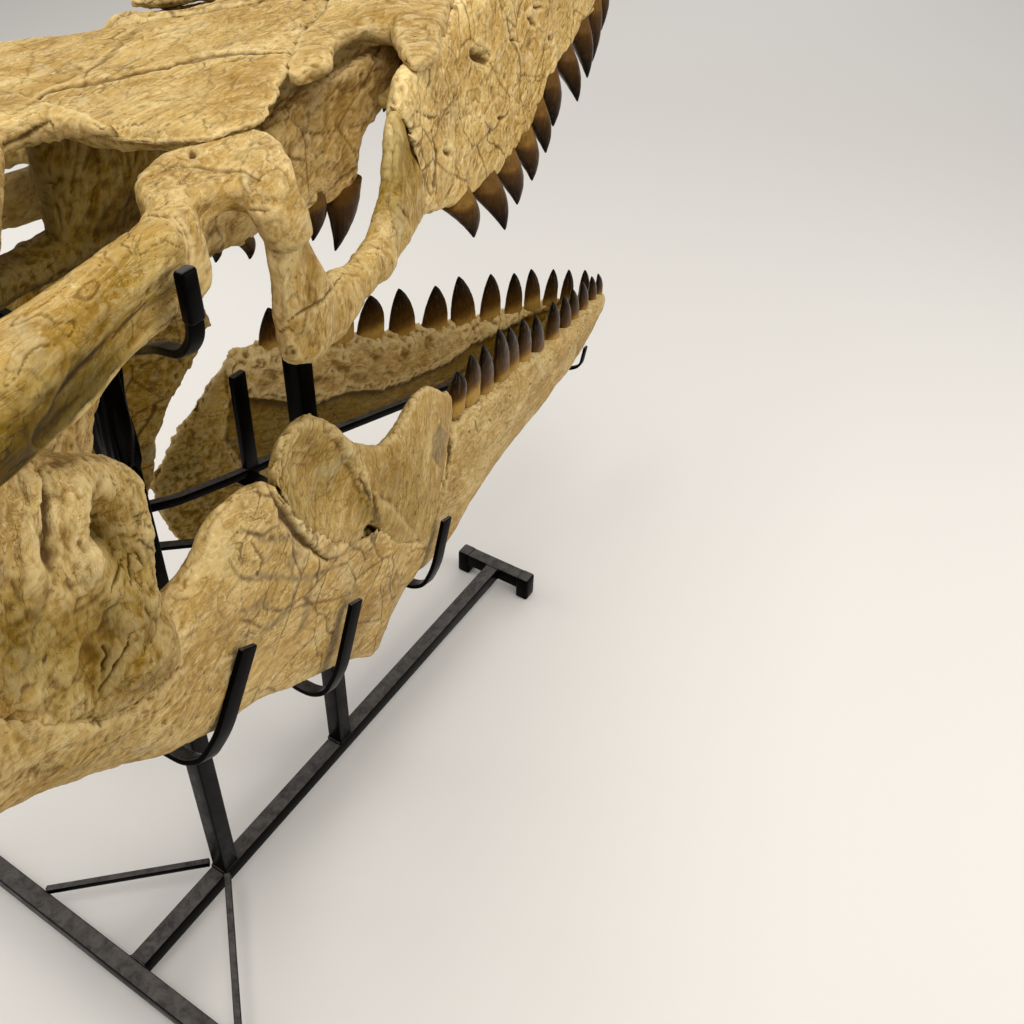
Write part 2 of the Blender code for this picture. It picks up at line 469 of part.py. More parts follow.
def paired(side, tag):
    b = {}
    b["maxilla"] = join(loft(maxilla_rows(), "X", side, 8, 3.0, name="maxilla"))
    for t in upper_teeth(side):
        apply_boolean(b["maxilla"], t, "UNION")
    b["prefrontal"] = join(loft((
        (0.346, 0.106, 1.091, 0.010, 0.005, 0), (0.364, 0.098, 1.091, 0.019, 0.008, -2),
        (0.386, 0.096, 1.092, 0.026, 0.009, -2), (0.412, 0.083, 1.093, 0.024, 0.010, -3), (0.445, 0.070, 1.094, 0.025, 0.010, -4),
        (0.474, 0.066, 1.095, 0.028, 0.011, -5), (0.500, 0.082, 1.096, 0.056, 0.012, -6), (0.530, 0.078, 1.097, 0.058, 0.012, -6),
        (0.570, 0.066, 1.098, 0.048, 0.011, -6), (0.620, 0.060, 1.099, 0.032, 0.010, -4),
        (0.665, 0.060, 1.099, 0.012, 0.007, 0)), "X", side, 8, 3.6, name="prefrontal"),
        loft(((0.408, 0.184, 1.086, 0.005, 0.006, 0), (0.424, 0.176, 1.088, 0.014, 0.010, -10), (0.446, 0.161, 1.090, 0.021, 0.012, -12),
              (0.475, 0.143, 1.093, 0.027, 0.012, -12), (0.505, 0.124, 1.095, 0.026, 0.011, -9), (0.535, 0.108, 1.096, 0.016, 0.008, -6)), "X", side, 8, 3.4, name="hook"))
    b["postorbitofrontal"] = join(
        loft(((-0.010, 0.262, 1.084, 0.012, 0.020, 12), (0.020, 0.258, 1.084, 0.018, 0.026, 12),
              (0.060, 0.250, 1.084, 0.021, 0.027, 10), (0.092, 0.236, 1.084, 0.024, 0.024, 8),
              (0.114, 0.207, 1.087, 0.027, 0.016, 4), (0.132, 0.191, 1.088, 0.032, 0.012, 2), (0.152, 0.187, 1.088, 0.037, 0.011, 0),
              (0.172, 0.196, 1.086, 0.050, 0.011, -2), (0.192, 0.196, 1.086, 0.047, 0.010, -3), (0.222, 0.184, 1.087, 0.032, 0.009, -3),
              (0.246, 0.168, 1.088, 0.010, 0.006, 0)),
             "X", side, 10, 4.0, name="postorbital"),
        loft(((1.050, 0.183, 0.244, 0.0185, 0.0100), (1.068, 0.179, 0.241, 0.0195, 0.0115), (1.084, 0.177, 0.234, 0.021, 0.012)),
             "Z", side, 8, name="process"))
    b["squamosal"] = loft((
        (0.112, 0.222, 1.085, 0.012, 0.012, 6), (0.092, 0.236, 1.084, 0.024, 0.024, 8), (0.060, 0.250, 1.084, 0.021, 0.027, 10),
        (0.020, 0.258, 1.084, 0.018, 0.027, 12),
        (-0.040, 0.272, 1.082, 0.024, 0.030, 10), (-0.090, 0.281, 1.080, 0.030, 0.030, 0),
        (-0.130, 0.284, 1.074, 0.026, 0.024, 0), (-0.152, 0.284, 1.070, 0.012, 0.012, 0)), "X", side, 10, 2.6, name="squamosal")
    b["jugal"] = join(
        loft(((0.956, 0.188, 0.243, 0.016, 0.007), (0.972, 0.190, 0.242, 0.027, 0.011), (0.992, 0.192, 0.242, 0.029, 0.0115),
              (1.012, 0.189, 0.241, 0.025, 0.0105), (1.040, 0.1845, 0.240, 0.0185, 0.0090), (1.072, 0.178, 0.238, 0.0165, 0.0085)), "Z", side, 8, 2.6, name="jugal"),
        loft(((0.172, 0.244, 0.982, 0.006, 0.014, 0), (0.192, 0.240, 0.976, 0.012, 0.020, 0), (0.235, 0.232, 0.974, 0.013, 0.023, 0),
              (0.280, 0.221, 0.973, 0.012, 0.015, 0), (0.315, 0.213, 0.974, 0.012, 0.017, 2),
              (0.340, 0.205, 0.984, 0.011, 0.023, 4), (0.358, 0.200, 1.000, 0.011, 0.038, 6), (0.382, 0.190, 1.014, 0.009, 0.054, 8),
              (0.420, 0.177, 1.014, 0.007, 0.048, 10)),
             "X", side, 8, 2.6, name="jugal_h"))
    b["quadrate"] = join(
        loft(((0.828, -0.030, 0.272, 0.018, 0.012), (0.842, -0.042, 0.269, 0.034, 0.022), (0.868, -0.058, 0.266, 0.052, 0.030),
              (0.905, -0.078, 0.264, 0.066, 0.033), (0.945, -0.084, 0.261, 0.078, 0.034), (0.975, -0.086, 0.260, 0.086, 0.035),
              (0.996, -0.092, 0.260, 0.078, 0.034), (1.025, -0.106, 0.267, 0.058, 0.027), (1.052, -0.116, 0.272, 0.038, 0.018)), "Z", side, 12, 2.8, name="quadrate"),
        loft(((0.905, -0.196, 0.248, 0.013, 0.014), (0.930, -0.198, 0.248, 0.020, 0.022), (0.980, -0.190, 0.250, 0.026, 0.028),
              (1.015, -0.166, 0.254, 0.034, 0.031), (1.038, -0.135, 0.258, 0.040, 0.030), (1.050, -0.110, 0.260, 0.030, 0.026)),
             "Z", side, 8, 2.4, name="suprastapedial"))
    b["pterygoid"] = loft((
        (-0.030, 0.222, 0.960, 0.006, 0.018, 0), (0.000, 0.208, 0.975, 0.007, 0.034, 0), (0.040, 0.180, 1.000, 0.007, 0.040, 0),
        (0.090, 0.140, 1.005, 0.008, 0.036, 0), (0.150, 0.104, 0.996, 0.010, 0.022, 0), (0.210, 0.086, 0.992, 0.013, 0.022, 0),
        (0.280, 0.080, 1.000, 0.014, 0.036, 0), (0.350, 0.080, 1.006, 0.014, 0.047, 0), (0.410, 0.080, 1.011, 0.013, 0.056, 0),
        (0.442, 0.080, 1.013, 0.012, 0.056, 0), (0.458, 0.080, 1.031, 0.012, 0.040, 0), (0.480, 0.080, 1.041, 0.011, 0.032, 0),
        (0.520, 0.080, 1.050, 0.010, 0.024, 0), (0.556, 0.079, 1.059, 0.007, 0.014, 0)),
        "X", side, 8, 2.6, name="pterygoid")
    b["palatine"] = loft((
        (0.480, 0.104, 1.032, 0.012, 0.008, 10), (0.520, 0.108, 1.036, 0.026, 0.010, 8), (0.580, 0.096, 1.038, 0.034, 0.011, 6),
        (0.660, 0.072, 1.036, 0.028, 0.010, 4), (0.740, 0.048, 1.036, 0.018, 0.009, 0), (0.790, 0.036, 1.037, 0.008, 0.006, 0)),
        "X", side, 8, 3.0, name="palatine")
    for row in PTERYGOID_CROWNS:
        apply_boolean(b["pterygoid"], crown(row, side, UPPER_PLUMP, 0.0, 0.004), "UNION")
    return b


sides = {"_R": paired(-1, "_R"), "_L": paired(1, "_L")}
vomer = loft(((0.620, 0, 1.036, 0.012, 0.007), (0.700, 0, 1.036, 0.022, 0.009), (0.820, 0, 1.037, 0.020, 0.009),
              (0.960, 0, 1.041, 0.016, 0.009), (1.055, 0, 1.046, 0.012, 0.008)), n=8, e=3.0, name="vomer")
braincase = join(
    loft(((-0.075, 0, 1.012, 0.020, 0.018), (-0.050, 0, 1.012, 0.026, 0.024), (-0.020, 0, 1.016, 0.036, 0.030),
          (0.020, 0, 1.028, 0.040, 0.046), (0.070, 0, 1.030, 0.030, 0.050), (0.088, 0, 1.010, 0.022, 0.040)),
         n=10, e=2.6, name="braincase"),
    loft(((0.040, 0, 0.984, 0.022, 0.016), (0.110, 0, 0.980, 0.026, 0.013), (0.200, 0, 0.980, 0.020, 0.013),
          (0.320, 0, 0.984, 0.011, 0.011), (0.455, 0, 0.990, 0.006, 0.007)), n=8, name="basisphenoid"),
    loft(((0.168, 0, 1.035, 0.012, 0.045), (0.190, 0, 1.034, 0.018, 0.058), (0.240, 0, 1.034, 0.020, 0.058),
          (0.285, 0, 1.040, 0.012, 0.050)), n=8, e=3.0, name="wall"),
    loft(((-0.030, 0.030, 1.030, 0.020, 0.016), (-0.050, 0.110, 1.032, 0.022, 0.016), (-0.078, 0.200, 1.036, 0.020, 0.014),
          (-0.092, 0.236, 1.040, 0.010, 0.010)), side=-1, n=8, name="paroccipital"),
    loft(((-0.030, 0.030, 1.030, 0.020, 0.016), (-0.050, 0.110, 1.032, 0.022, 0.016), (-0.078, 0.200, 1.036, 0.020, 0.014),
          (-0.092, 0.236, 1.040, 0.010, 0.010)), side=1, n=8, name="paroccipital"))

# ------------------------------------------------------------------ seams between the bones
for tag, b in sides.items():
    side = -1 if tag == "_R" else 1
    trim(b["prefrontal"], frontal, premaxilla)
    trim(b["postorbitofrontal"], frontal, parietal)
    n_arch = Vector((1.0, 0, -0.55)).normalized()
    p_arch = Vector((0.066, 0, 1.083))
    keep_side(b["squamosal"], p_arch - n_arch * (GAP / 2), n_arch)
    keep_side(b["postorbitofrontal"], p_arch + n_arch * (GAP / 2), -n_arch)
    trim(b["jugal"], b["postorbitofrontal"])
    trim(b["maxilla"], b["jugal"], b["prefrontal"], premaxilla)
    trim(b["quadrate"], b["squamosal"])
    trim(parietal, b["squamosal"], b["quadrate"])
    trim(b["pterygoid"], b["quadrate"])
    trim(b["palatine"], b["pterygoid"], b["maxilla"], vomer, b["prefrontal"])
    trim(vomer, premaxilla)
trim(braincase, parietal, frontal)
for tag, b in sides.items():
    trim(braincase, b["quadrate"], b["squamosal"], b["pterygoid"])
for rear, coronoid, dentary, tag in ((rear_R, coronoid_R, dentary_R, "_R"), (rear_L, coronoid_L, dentary_L, "_L")):
    trim(rear, coronoid, by=2 * GAP)
    trim(rear, sides[tag]["quadrate"])
    trim(dentary, coronoid, by=2 * GAP)

# ------------------------------------------------------------------ stand
h = TUBE / 2
z0, z1 = BEAM_Z - h, BEAM_Z + h
base = join(
    box(-h, h, -REAR_HALF, REAR_HALF, z0, z1),
    box(-h + 0.002, BEAM_LEN, -h, h, z0, z1),
    box(BEAM_LEN - h, BEAM_LEN + h, -T_FOOT / 2, T_FOOT / 2, z0, z1))
for fx, fy in ((0, -REAR_HALF), (0, REAR_HALF), (BEAM_LEN, -T_FOOT / 2), (BEAM_LEN, T_FOOT / 2)):
    s = 1 if fy > 0 else -1
    lo, hi = sorted((fy - s * 0.020, fy + s * 0.004))
    apply_boolean(base, box(fx - h - 0.001, fx + h + 0.001, lo, hi, 0.0, z1 + 0.001), "UNION")
node("stand_base", base, "steel")
for s, tag in ((-1, "_R"), (1, "_L")):
    brace = sweep(((0.0135 - 0.002, s * 0.1745, 0.046), (POST_REAR_X - h - 0.001, s * 0.0165, 0.050)), BRACE, BRACE, (0, 0, 1), "brace")
    trim(brace, base)
    node("stand_brace" + tag, brace, "steel")
post_rear = box(POST_REAR_X - h, POST_REAR_X + h, -h, h, z1 + GAP, POST_REAR_TOP)
sleeve = loft(SLEEVE, "Z", -1, 8, 5.0, name="sleeve")
apply_boolean(post_rear, sleeve, "UNION")
node("stand_post_rear", post_rear, "steel")
for tag in ("_R", "_L"):
    trim(NODES["stand_brace" + tag], post_rear)
post_front = box(POST_FRONT_X - h, POST_FRONT_X + h, -h, h, z1 + GAP, POST_FRONT_TOP)
node("stand_post_front", post_front, "steel")

ROD = ((POST_REAR_X + 0.006, 0, 0.692), (0.226, 0, 0.672), (0.303, 0, 0.648), (0.478, 0, 0.604), (0.734, 0, 0.526), (1.020, 0, 0.424), (1.060, 0, 0.398))
rod = join(sweep(ROD, 0.010, 0.010, (0, 1, 0), "rod"),
           sweep(((0.335, 0, 0.630), (0.337, 0, 0.768)), 0.019, 0.008, (1, 0, 0), "upright"),
           sweep(((0.322, 0, 0.640), (0.350, 0, 0.606)), 0.012, 0.020, (0, 1, 0), "gusset"),
           sweep(((1.048, -0.066, 0.452), (1.048, -0.060, 0.412), (1.048, -0.036, 0.397), (1.048, 0.036, 0.397),
                  (1.048, 0.060, 0.412), (1.048, 0.066, 0.452)), 0.010, 0.004, (1, 0, 0), "chin_hook"))
trim(rod, post_rear, post_front)


def largest(ob):
    tidy(ob)
    return ob


node("stand_jaw_rod", rod, "steel")


def strap(side, x, z, length, lean, post_x, z_post, name):
    """J-shaped flat strap square to the jaw: (x, z) is its top on the outer face, then under the edge and in to a post."""
    ux, uz = math.sin(math.radians(lean)), math.cos(math.radians(lean))
    wo, wi = jaw_w(x) + STRAP_OUT, jaw_w(x) - 0.034
    run = ((0.0, wo + 0.002), (length - 0.040, wo - 0.002), (length - 0.010, wo - 0.012), (length, wo - 0.028), (length + 0.002, wi))
    pts = [(x - ux * d, side * w, z - uz * d) for d, w in run] + [(post_x, side * 0.006, z_post)]
    return sweep(pts, STRAP_W, STRAP_T, (uz, 0, -ux), name)


STRAPS = (("rear", 0.064, 0.764, 0.118, 28, POST_REAR_X, 0.400), ("mid", 0.232, 0.648, 0.122, 19, POST_FRONT_X, 0.470),
          ("front", 0.456, 0.566, 0.108, 14, POST_FRONT_X, 0.390))
for s, tag in ((-1, "_R"), (1, "_L")):
    for nm, x, z, length, lean, px, zp in STRAPS:
        o = strap(s, x, z, length, lean, px, zp, "strap")
        trim(o, post_rear if px == POST_REAR_X else post_front, rod)
        lo = Vector((0, s * GAP / 2, 0))
        node("stand_strap_" + nm + tag, keep_side(o, lo, Vector((0, -s, 0))), "steel")
    arm = join(
        sweep(((POST_REAR_X, s * 0.004, 0.868), (0.150, s * 0.060, 0.905), (0.095, s * 0.170, 0.985), (0.056, s * 0.246, 1.034),
               (0.053, s * 0.272, 1.040), (0.053, s * 0.284, 1.056), (0.053, s * 0.284, 1.094)), 0.012, 0.006, (1, 0.3 * s, 0), "arm"),
        sweep(((0.053, s * 0.2845, 1.066), (0.053, s * 0.2835, 1.100)), 0.015, 0.009, (1, 0, 0), "sleeve"))
    trim(arm, post_rear)
    node("stand_arch_hook" + tag, keep_side(arm, Vector((0, s * GAP / 2, 0)), Vector((0, -s, 0))), "steel")

# the bones are notched where steel lies against them
steel = [o for k, o in NODES.items() if k.startswith("stand_")]


bones = {"vomer": vomer, "frontal": frontal, "parietal": parietal, "premaxilla": premaxilla, "braincase": braincase}
for tag, b in sides.items():
    for k, o in b.items():
        bones[k + tag] = o
for tag, group in (("_R", (dentary_R, rear_R, coronoid_R)), ("_L", (dentary_L, rear_L, coronoid_L))):
    for k, o in zip(("dentary", "surangular_angular", "coronoid"), group):
        bones[k + tag] = o
for k, o in bones.items():
    for s_ob in steel:
        if near(o, s_ob):
            trim(o, s_ob, by=0.0005)
for k, o in bones.items():
    bm = bmesh.new()
    bm.from_mesh(o.data)
    bmesh.ops.dissolve_limit(bm, angle_limit=math.radians(0.06), verts=bm.verts, edges=bm.edges)
    bmesh.ops.triangulate(bm, faces=bm.faces)
    bm.to_mesh(o.data)
    bm.free()
    node(k, o, "bone")
# the finished object stands centred on its bounding box
everything = np.array([v.co[:] for o in NODES.values() for v in o.data.vertices])
centre = (everything.max(0) + everything.min(0)) / 2
for o in NODES.values():
    for v in o.data.vertices:
        v.co.x -= centre[0]
print("ORIGIN_X", round(float(centre[0]), 5))
for k, o in NODES.items():
    print("NODE", k, len(o.data.polygons))
print("TOTAL", sum(len(o.data.polygons) for o in NODES.values()), len(NODES))
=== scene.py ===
"""Looks of the mosasaur skull on its stand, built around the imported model.

Every bone is built again from the same sizes as its CAD solid, with smooth lofts, then merged to an even skin, trimmed
against its neighbours, carved with sutures, cracks, pits and grain, and given a procedural bone material.
Sizes below are in "stand" coordinates: +X to the snout from the rear cross-beam, +Y to the animal's left, +Z up.
"""
import json
import math
import time

import bpy
import bmesh
import numpy as np
from mathutils import Matrix, Vector

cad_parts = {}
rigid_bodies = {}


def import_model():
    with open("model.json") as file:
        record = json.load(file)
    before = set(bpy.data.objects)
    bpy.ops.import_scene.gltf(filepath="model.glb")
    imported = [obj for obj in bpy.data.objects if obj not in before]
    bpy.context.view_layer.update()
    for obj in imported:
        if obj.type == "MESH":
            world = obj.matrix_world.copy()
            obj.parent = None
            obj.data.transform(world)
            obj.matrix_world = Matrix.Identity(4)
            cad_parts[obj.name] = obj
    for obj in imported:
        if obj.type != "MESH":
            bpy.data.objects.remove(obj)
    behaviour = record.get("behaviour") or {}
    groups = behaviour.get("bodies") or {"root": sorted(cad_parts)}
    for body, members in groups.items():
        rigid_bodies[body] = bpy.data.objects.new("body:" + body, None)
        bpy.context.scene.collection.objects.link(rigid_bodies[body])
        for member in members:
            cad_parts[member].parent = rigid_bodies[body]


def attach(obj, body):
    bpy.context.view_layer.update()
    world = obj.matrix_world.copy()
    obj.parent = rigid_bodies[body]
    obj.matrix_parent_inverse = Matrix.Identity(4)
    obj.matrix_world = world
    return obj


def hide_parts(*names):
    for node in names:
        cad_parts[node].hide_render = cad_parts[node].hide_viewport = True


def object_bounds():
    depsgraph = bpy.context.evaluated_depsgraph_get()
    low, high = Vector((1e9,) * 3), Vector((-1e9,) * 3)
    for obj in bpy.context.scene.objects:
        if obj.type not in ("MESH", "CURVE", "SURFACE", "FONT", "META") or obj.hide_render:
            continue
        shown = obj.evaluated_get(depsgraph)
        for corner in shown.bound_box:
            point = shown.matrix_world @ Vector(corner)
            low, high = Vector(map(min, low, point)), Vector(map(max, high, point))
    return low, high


T0 = time.perf_counter()
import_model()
cad_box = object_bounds()
OX = 0.4955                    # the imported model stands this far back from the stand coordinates
SHIFT = np.array((-OX, 0.0, 0.0))

# ------------------------------------------------------------------ sizes shared with the CAD
JAW_W0, JAW_X0, JAW_SLOPE = 0.1433, 0.54, -0.204
ROOF_Z = 1.093
TUBE = 0.025
BEAM_Z = 0.0333
BEAM_LEN = 0.888
T_FOOT = 0.142
REAR_HALF = 0.333
POST_REAR_X, POST_REAR_TOP = 0.175, 0.935
SLEEVE = ((0.738, 0.175, 0, 0.0135, 0.0135), (0.758, 0.175, 0, 0.0180, 0.0185), (0.800, 0.174, 0, 0.0205, 0.0215),
          (0.862, 0.174, 0, 0.0205, 0.0225), (0.928, 0.175, 0, 0.0190, 0.0205))     # black wrap round the rear post
POST_FRONT_X, POST_FRONT_TOP = 0.429, 0.945
# crowns: gum centre (along, out from the mid plane, height), tip, half length along the row, half width across it
UPPER_CROWNS = (
    (0.518, 0.156, 0.934, 0.524, 0.175, 0.896, 0.0230, 0.0170), (0.595, 0.139, 0.919, 0.601, 0.166, 0.871, 0.0245, 0.0175),
    (0.660, 0.125, 0.916, 0.666, 0.143, 0.870, 0.0240, 0.0175), (0.718, 0.112, 0.922, 0.725, 0.128, 0.874, 0.0215, 0.0180),
    (0.762, 0.102, 0.941, 0.768, 0.121, 0.892, 0.0195, 0.0175), (0.807, 0.092, 0.961, 0.813, 0.105, 0.907, 0.0215, 0.0175),
    (0.878, 0.074, 0.970, 0.884, 0.100, 0.916, 0.0230, 0.0175), (0.949, 0.058, 0.983, 0.955, 0.076, 0.922, 0.0215, 0.0165),
    (1.010, 0.044, 0.994, 1.020, 0.049, 0.921, 0.0190, 0.0145), (1.054, 0.034, 1.008, 1.062, 0.037, 0.948, 0.0170, 0.0125))
LOWER_CROWNS_R = (
    (0.535, 0.144, 0.676, 0.541, 0.143, 0.710, 0.0180, 0.0105), (0.585, 0.134, 0.658, 0.584, 0.134, 0.707, 0.0205, 0.0085),
    (0.633, 0.124, 0.632, 0.625, 0.126, 0.696, 0.0205, 0.0085), (0.691, 0.1125, 0.616, 0.679, 0.115, 0.689, 0.0215, 0.0092),
    (0.735, 0.1035, 0.601, 0.719, 0.107, 0.669, 0.0190, 0.0082), (0.784, 0.0935, 0.588, 0.776, 0.095, 0.649, 0.0205, 0.0092),
    (0.846, 0.081, 0.556, 0.834, 0.083, 0.623, 0.0215, 0.0090), (0.920, 0.066, 0.544, 0.919, 0.066, 0.599, 0.0205, 0.0095),
    (0.990, 0.0515, 0.514, 0.980, 0.053, 0.577, 0.0195, 0.0090), (1.038, 0.0415, 0.506, 1.026, 0.044, 0.564, 0.0180, 0.0085),
    (1.098, 0.0295, 0.490, 1.082, 0.033, 0.548, 0.0170, 0.0078), (1.154, 0.018, 0.474, 1.147, 0.019, 0.525, 0.0150, 0.0072),
    (1.198, 0.010, 0.464, 1.189, 0.011, 0.509, 0.0125, 0.0060))
LOWER_CROWNS_L = (
    (0.535, 0.142, 0.655, 0.536, 0.142, 0.706, 0.0195, 0.0080), (0.592, 0.1305, 0.640, 0.594, 0.130, 0.690, 0.0215, 0.0085),
    (0.645, 0.120, 0.622, 0.648, 0.119, 0.675, 0.0225, 0.0085), (0.698, 0.109, 0.601, 0.701, 0.108, 0.657, 0.0235, 0.0090),
    (0.757, 0.097, 0.572, 0.755, 0.098, 0.646, 0.0240, 0.0090), (0.821, 0.084, 0.550, 0.825, 0.083, 0.623, 0.0250, 0.0095),
    (0.883, 0.071, 0.538, 0.873, 0.073, 0.620, 0.0245, 0.0092), (0.943, 0.059, 0.524, 0.943, 0.059, 0.597, 0.0215, 0.0085),
    (0.999, 0.048, 0.513, 0.997, 0.048, 0.578, 0.0180, 0.0078), (1.044, 0.038, 0.508, 1.039, 0.040, 0.569, 0.0170, 0.0075),
    (1.090, 0.029, 0.491, 1.094, 0.028, 0.548, 0.0155, 0.0070), (1.134, 0.020, 0.475, 1.136, 0.020, 0.531, 0.0148, 0.0065),
    (1.185, 0.0115, 0.464, 1.183, 0.012, 0.512, 0.0125, 0.0060))
PTERYGOID_CROWNS = (
    (0.255, 0.080, 0.972, 0.260, 0.081, 0.955, 0.0080, 0.0060), (0.292, 0.080, 0.966, 0.300, 0.081, 0.941, 0.0100, 0.0080),
    (0.340, 0.080, 0.966, 0.342, 0.081, 0.948, 0.0100, 0.0080), (0.385, 0.082, 0.962, 0.383, 0.083, 0.925, 0.0160, 0.0120),
    (0.431, 0.082, 0.952, 0.413, 0.084, 0.902, 0.0200, 0.0140))
FRONT_CROWNS = (
    (1.102, 0.031, 1.030, 1.110, 0.034, 0.982, 0.0135, 0.0110), (1.143, 0.026, 1.036, 1.151, 0.028, 0.992, 0.0125, 0.0105),
    (1.182, 0.019, 1.041, 1.189, 0.021, 1.004, 0.0110, 0.0090))
UPPER_PLUMP, LOWER_PLUMP = (1.35, 0.95), (2.1, 0.85)     # how full the crowns stay towards the tip


def jaw_w(x):
    return JAW_W0 + JAW_SLOPE * (x - JAW_X0)


# ------------------------------------------------------------------ camera
YAW, PITCH, ROLL = math.radians(32.27), math.radians(38.86), math.radians(0.74)
FOCAL, CX, CY = 1032.1, 473.4, 468.1
EYE = np.array((-0.2958, -0.6958, 1.375))


def camera_axes():
    heading = np.array((math.cos(YAW), math.sin(YAW), 0.0))
    side = np.array((math.sin(YAW), -math.cos(YAW), 0.0))
    up = np.array((0.0, 0.0, 1.0))
    fwd = heading * math.cos(PITCH) - up * math.sin(PITCH)
    top = heading * math.sin(PITCH) + up * math.cos(PITCH)
    right = side * math.cos(ROLL) + top * math.sin(ROLL)
    top = -side * math.sin(ROLL) + top * math.cos(ROLL)
    return right, top, fwd


CAM_R, CAM_U, CAM_F = camera_axes()


def screen(P):
    """Where points fall in the 1024 x 1024 frame, and their depth."""
    q = P - EYE
    z = q @ CAM_F
    return np.stack((CX + FOCAL * (q @ CAM_R) / z, CY - FOCAL * (q @ CAM_U) / z), 1), z


# ------------------------------------------------------------------ noise
def _hash(i, j, k, seed):
    h = (i * 374761393 + j * 668265263 + k * 2147483629 + seed * 1274126177) & 0xFFFFFFFF
    h = ((h ^ (h >> 13)) * 1274126177) & 0xFFFFFFFF
    h = ((h ^ (h >> 16)) * 2246822519) & 0xFFFFFFFF
    return h ^ (h >> 15)


def noise(P, scale, seed=0):
    """Gradient noise in about -1 .. 1."""
    Q = P / scale
    I = np.floor(Q).astype(np.int64)
    F = Q - I
    U = F * F * F * (F * (F * 6 - 15) + 10)
    out = np.zeros(len(P))
    for dx in (0, 1):
        wx = U[:, 0] if dx else 1 - U[:, 0]
        for dy in (0, 1):
            wy = U[:, 1] if dy else 1 - U[:, 1]
            for dz in (0, 1):
                wz = U[:, 2] if dz else 1 - U[:, 2]
                h = _hash(I[:, 0] + dx, I[:, 1] + dy, I[:, 2] + dz, seed)
                gx = (h & 1023) / 511.5 - 1
                gy = ((h >> 10) & 1023) / 511.5 - 1
                gz = ((h >> 20) & 1023) / 511.5 - 1
                out += wx * wy * wz * (gx * (F[:, 0] - dx) + gy * (F[:, 1] - dy) + gz * (F[:, 2] - dz))
    return out * 1.5


def fbm(P, scale, octaves=3, seed=0, gain=0.5):
    out, amp, total = np.zeros(len(P)), 1.0, 0.0
    for k in range(octaves):
        out += amp * noise(P, scale / 2 ** k, seed + 17 * k)
        total += amp
        amp *= gain
    return out / total


def ridged(P, scale, octaves=3, seed=0, gain=0.5):
    out, amp, total = np.zeros(len(P)), 1.0, 0.0
    for k in range(octaves):
        out += amp * (1 - 2 * np.abs(noise(P, scale / 2 ** k, seed + 31 * k)))
        total += amp
        amp *= gain
    return out / total


def warp(P, scale, amount, seed=0):
    return P + amount * np.stack([noise(P, scale, seed + s) for s in (101, 202, 303)], 1)


def stretched(P, direction, factor):
    """Coordinates in which features come out longer by 1/factor along direction."""
    d = np.array(direction, float)
    d /= np.linalg.norm(d)
    return P - (1 - factor) * (P @ d)[:, None] * d


def smooth(a, b, x):
    t = np.clip((x - a) / (b - a), 0, 1)
    return t * t * (3 - 2 * t)


# ------------------------------------------------------------------ mesh helpers
SCRATCH = bpy.data.collections.new("scratch")
SHOWN = bpy.data.collections.new("skull_on_stand")
bpy.context.scene.collection.children.link(SCRATCH)
bpy.context.scene.collection.children.link(SHOWN)


def new_object(name, V, F, collection=SCRATCH):
    me = bpy.data.meshes.new(name)
    V = np.asarray(V, np.float32)
    F = np.asarray(F, np.int32)
    me.vertices.add(len(V))
    me.vertices.foreach_set("co", V.ravel())
    me.loops.add(F.size)
    me.loops.foreach_set("vertex_index", F.ravel())
    me.polygons.add(len(F))
    me.polygons.foreach_set("loop_start", np.arange(0, F.size, F.shape[1], dtype=np.int32))
    me.update(calc_edges=True)
    me.validate()
    ob = bpy.data.objects.new(name, me)
    collection.objects.link(ob)
    return ob


def coords(me):
    co = np.empty(len(me.vertices) * 3, np.float32)
    me.vertices.foreach_get("co", co)
    return co.reshape(-1, 3).astype(float)


def set_coords(me, P):
    me.vertices.foreach_set("co", np.asarray(P, np.float32).ravel())
    me.update()


def edges_of(me):
    e = np.empty(len(me.edges) * 2, np.int32)
    me.edges.foreach_get("vertices", e)
    return e.reshape(-1, 2)


def relax(P, E, steps, amount=0.5):
    n = len(P)
    deg = np.bincount(E.ravel(), minlength=n).astype(float)
    deg[deg == 0] = 1
    for _ in range(steps):
        Q = np.empty_like(P)
        for c in range(P.shape[1]):
            s = np.bincount(E[:, 0], weights=P[E[:, 1], c], minlength=n)
            s += np.bincount(E[:, 1], weights=P[E[:, 0], c], minlength=n)
            Q[:, c] = s / deg
        P = P + amount * (Q - P)
    return P


def apply_modifier(ob):
    bpy.context.view_layer.update()
    graph = bpy.context.evaluated_depsgraph_get()
    me = bpy.data.meshes.new_from_object(ob.evaluated_get(graph))
    ob.modifiers.clear()
    old = ob.data
    ob.data = me
    bpy.data.meshes.remove(old)


def voxel(ob, size):
    m = ob.modifiers.new("v", "REMESH")
    m.mode = "VOXEL"
    m.voxel_size = size
    m.adaptivity = 0.0
    apply_modifier(ob)


def cut(ob, other):
    m = ob.modifiers.new("b", "BOOLEAN")
    m.solver = "MANIFOLD"
    m.operation = "DIFFERENCE"
    m.object = other
    apply_modifier(ob)


def copy_of(ob, name):
    o = bpy.data.objects.new(name, ob.data.copy())
    SCRATCH.objects.link(o)
    return o


def drop(ob):
    me = ob.data
    bpy.data.objects.remove(ob)
    bpy.data.meshes.remove(me)


def near(a, b, pad=0.002):
    A, B = coords(a.data), coords(b.data)
    return bool(np.all(A.min(0) - pad < B.max(0)) and np.all(B.min(0) - pad < A.max(0)))


def vertex_normals(me):
    n = np.empty(len(me.vertices) * 3, np.float32)
    me.vertex_normals.foreach_get("vector", n)
    return n.reshape(-1, 3).astype(float)


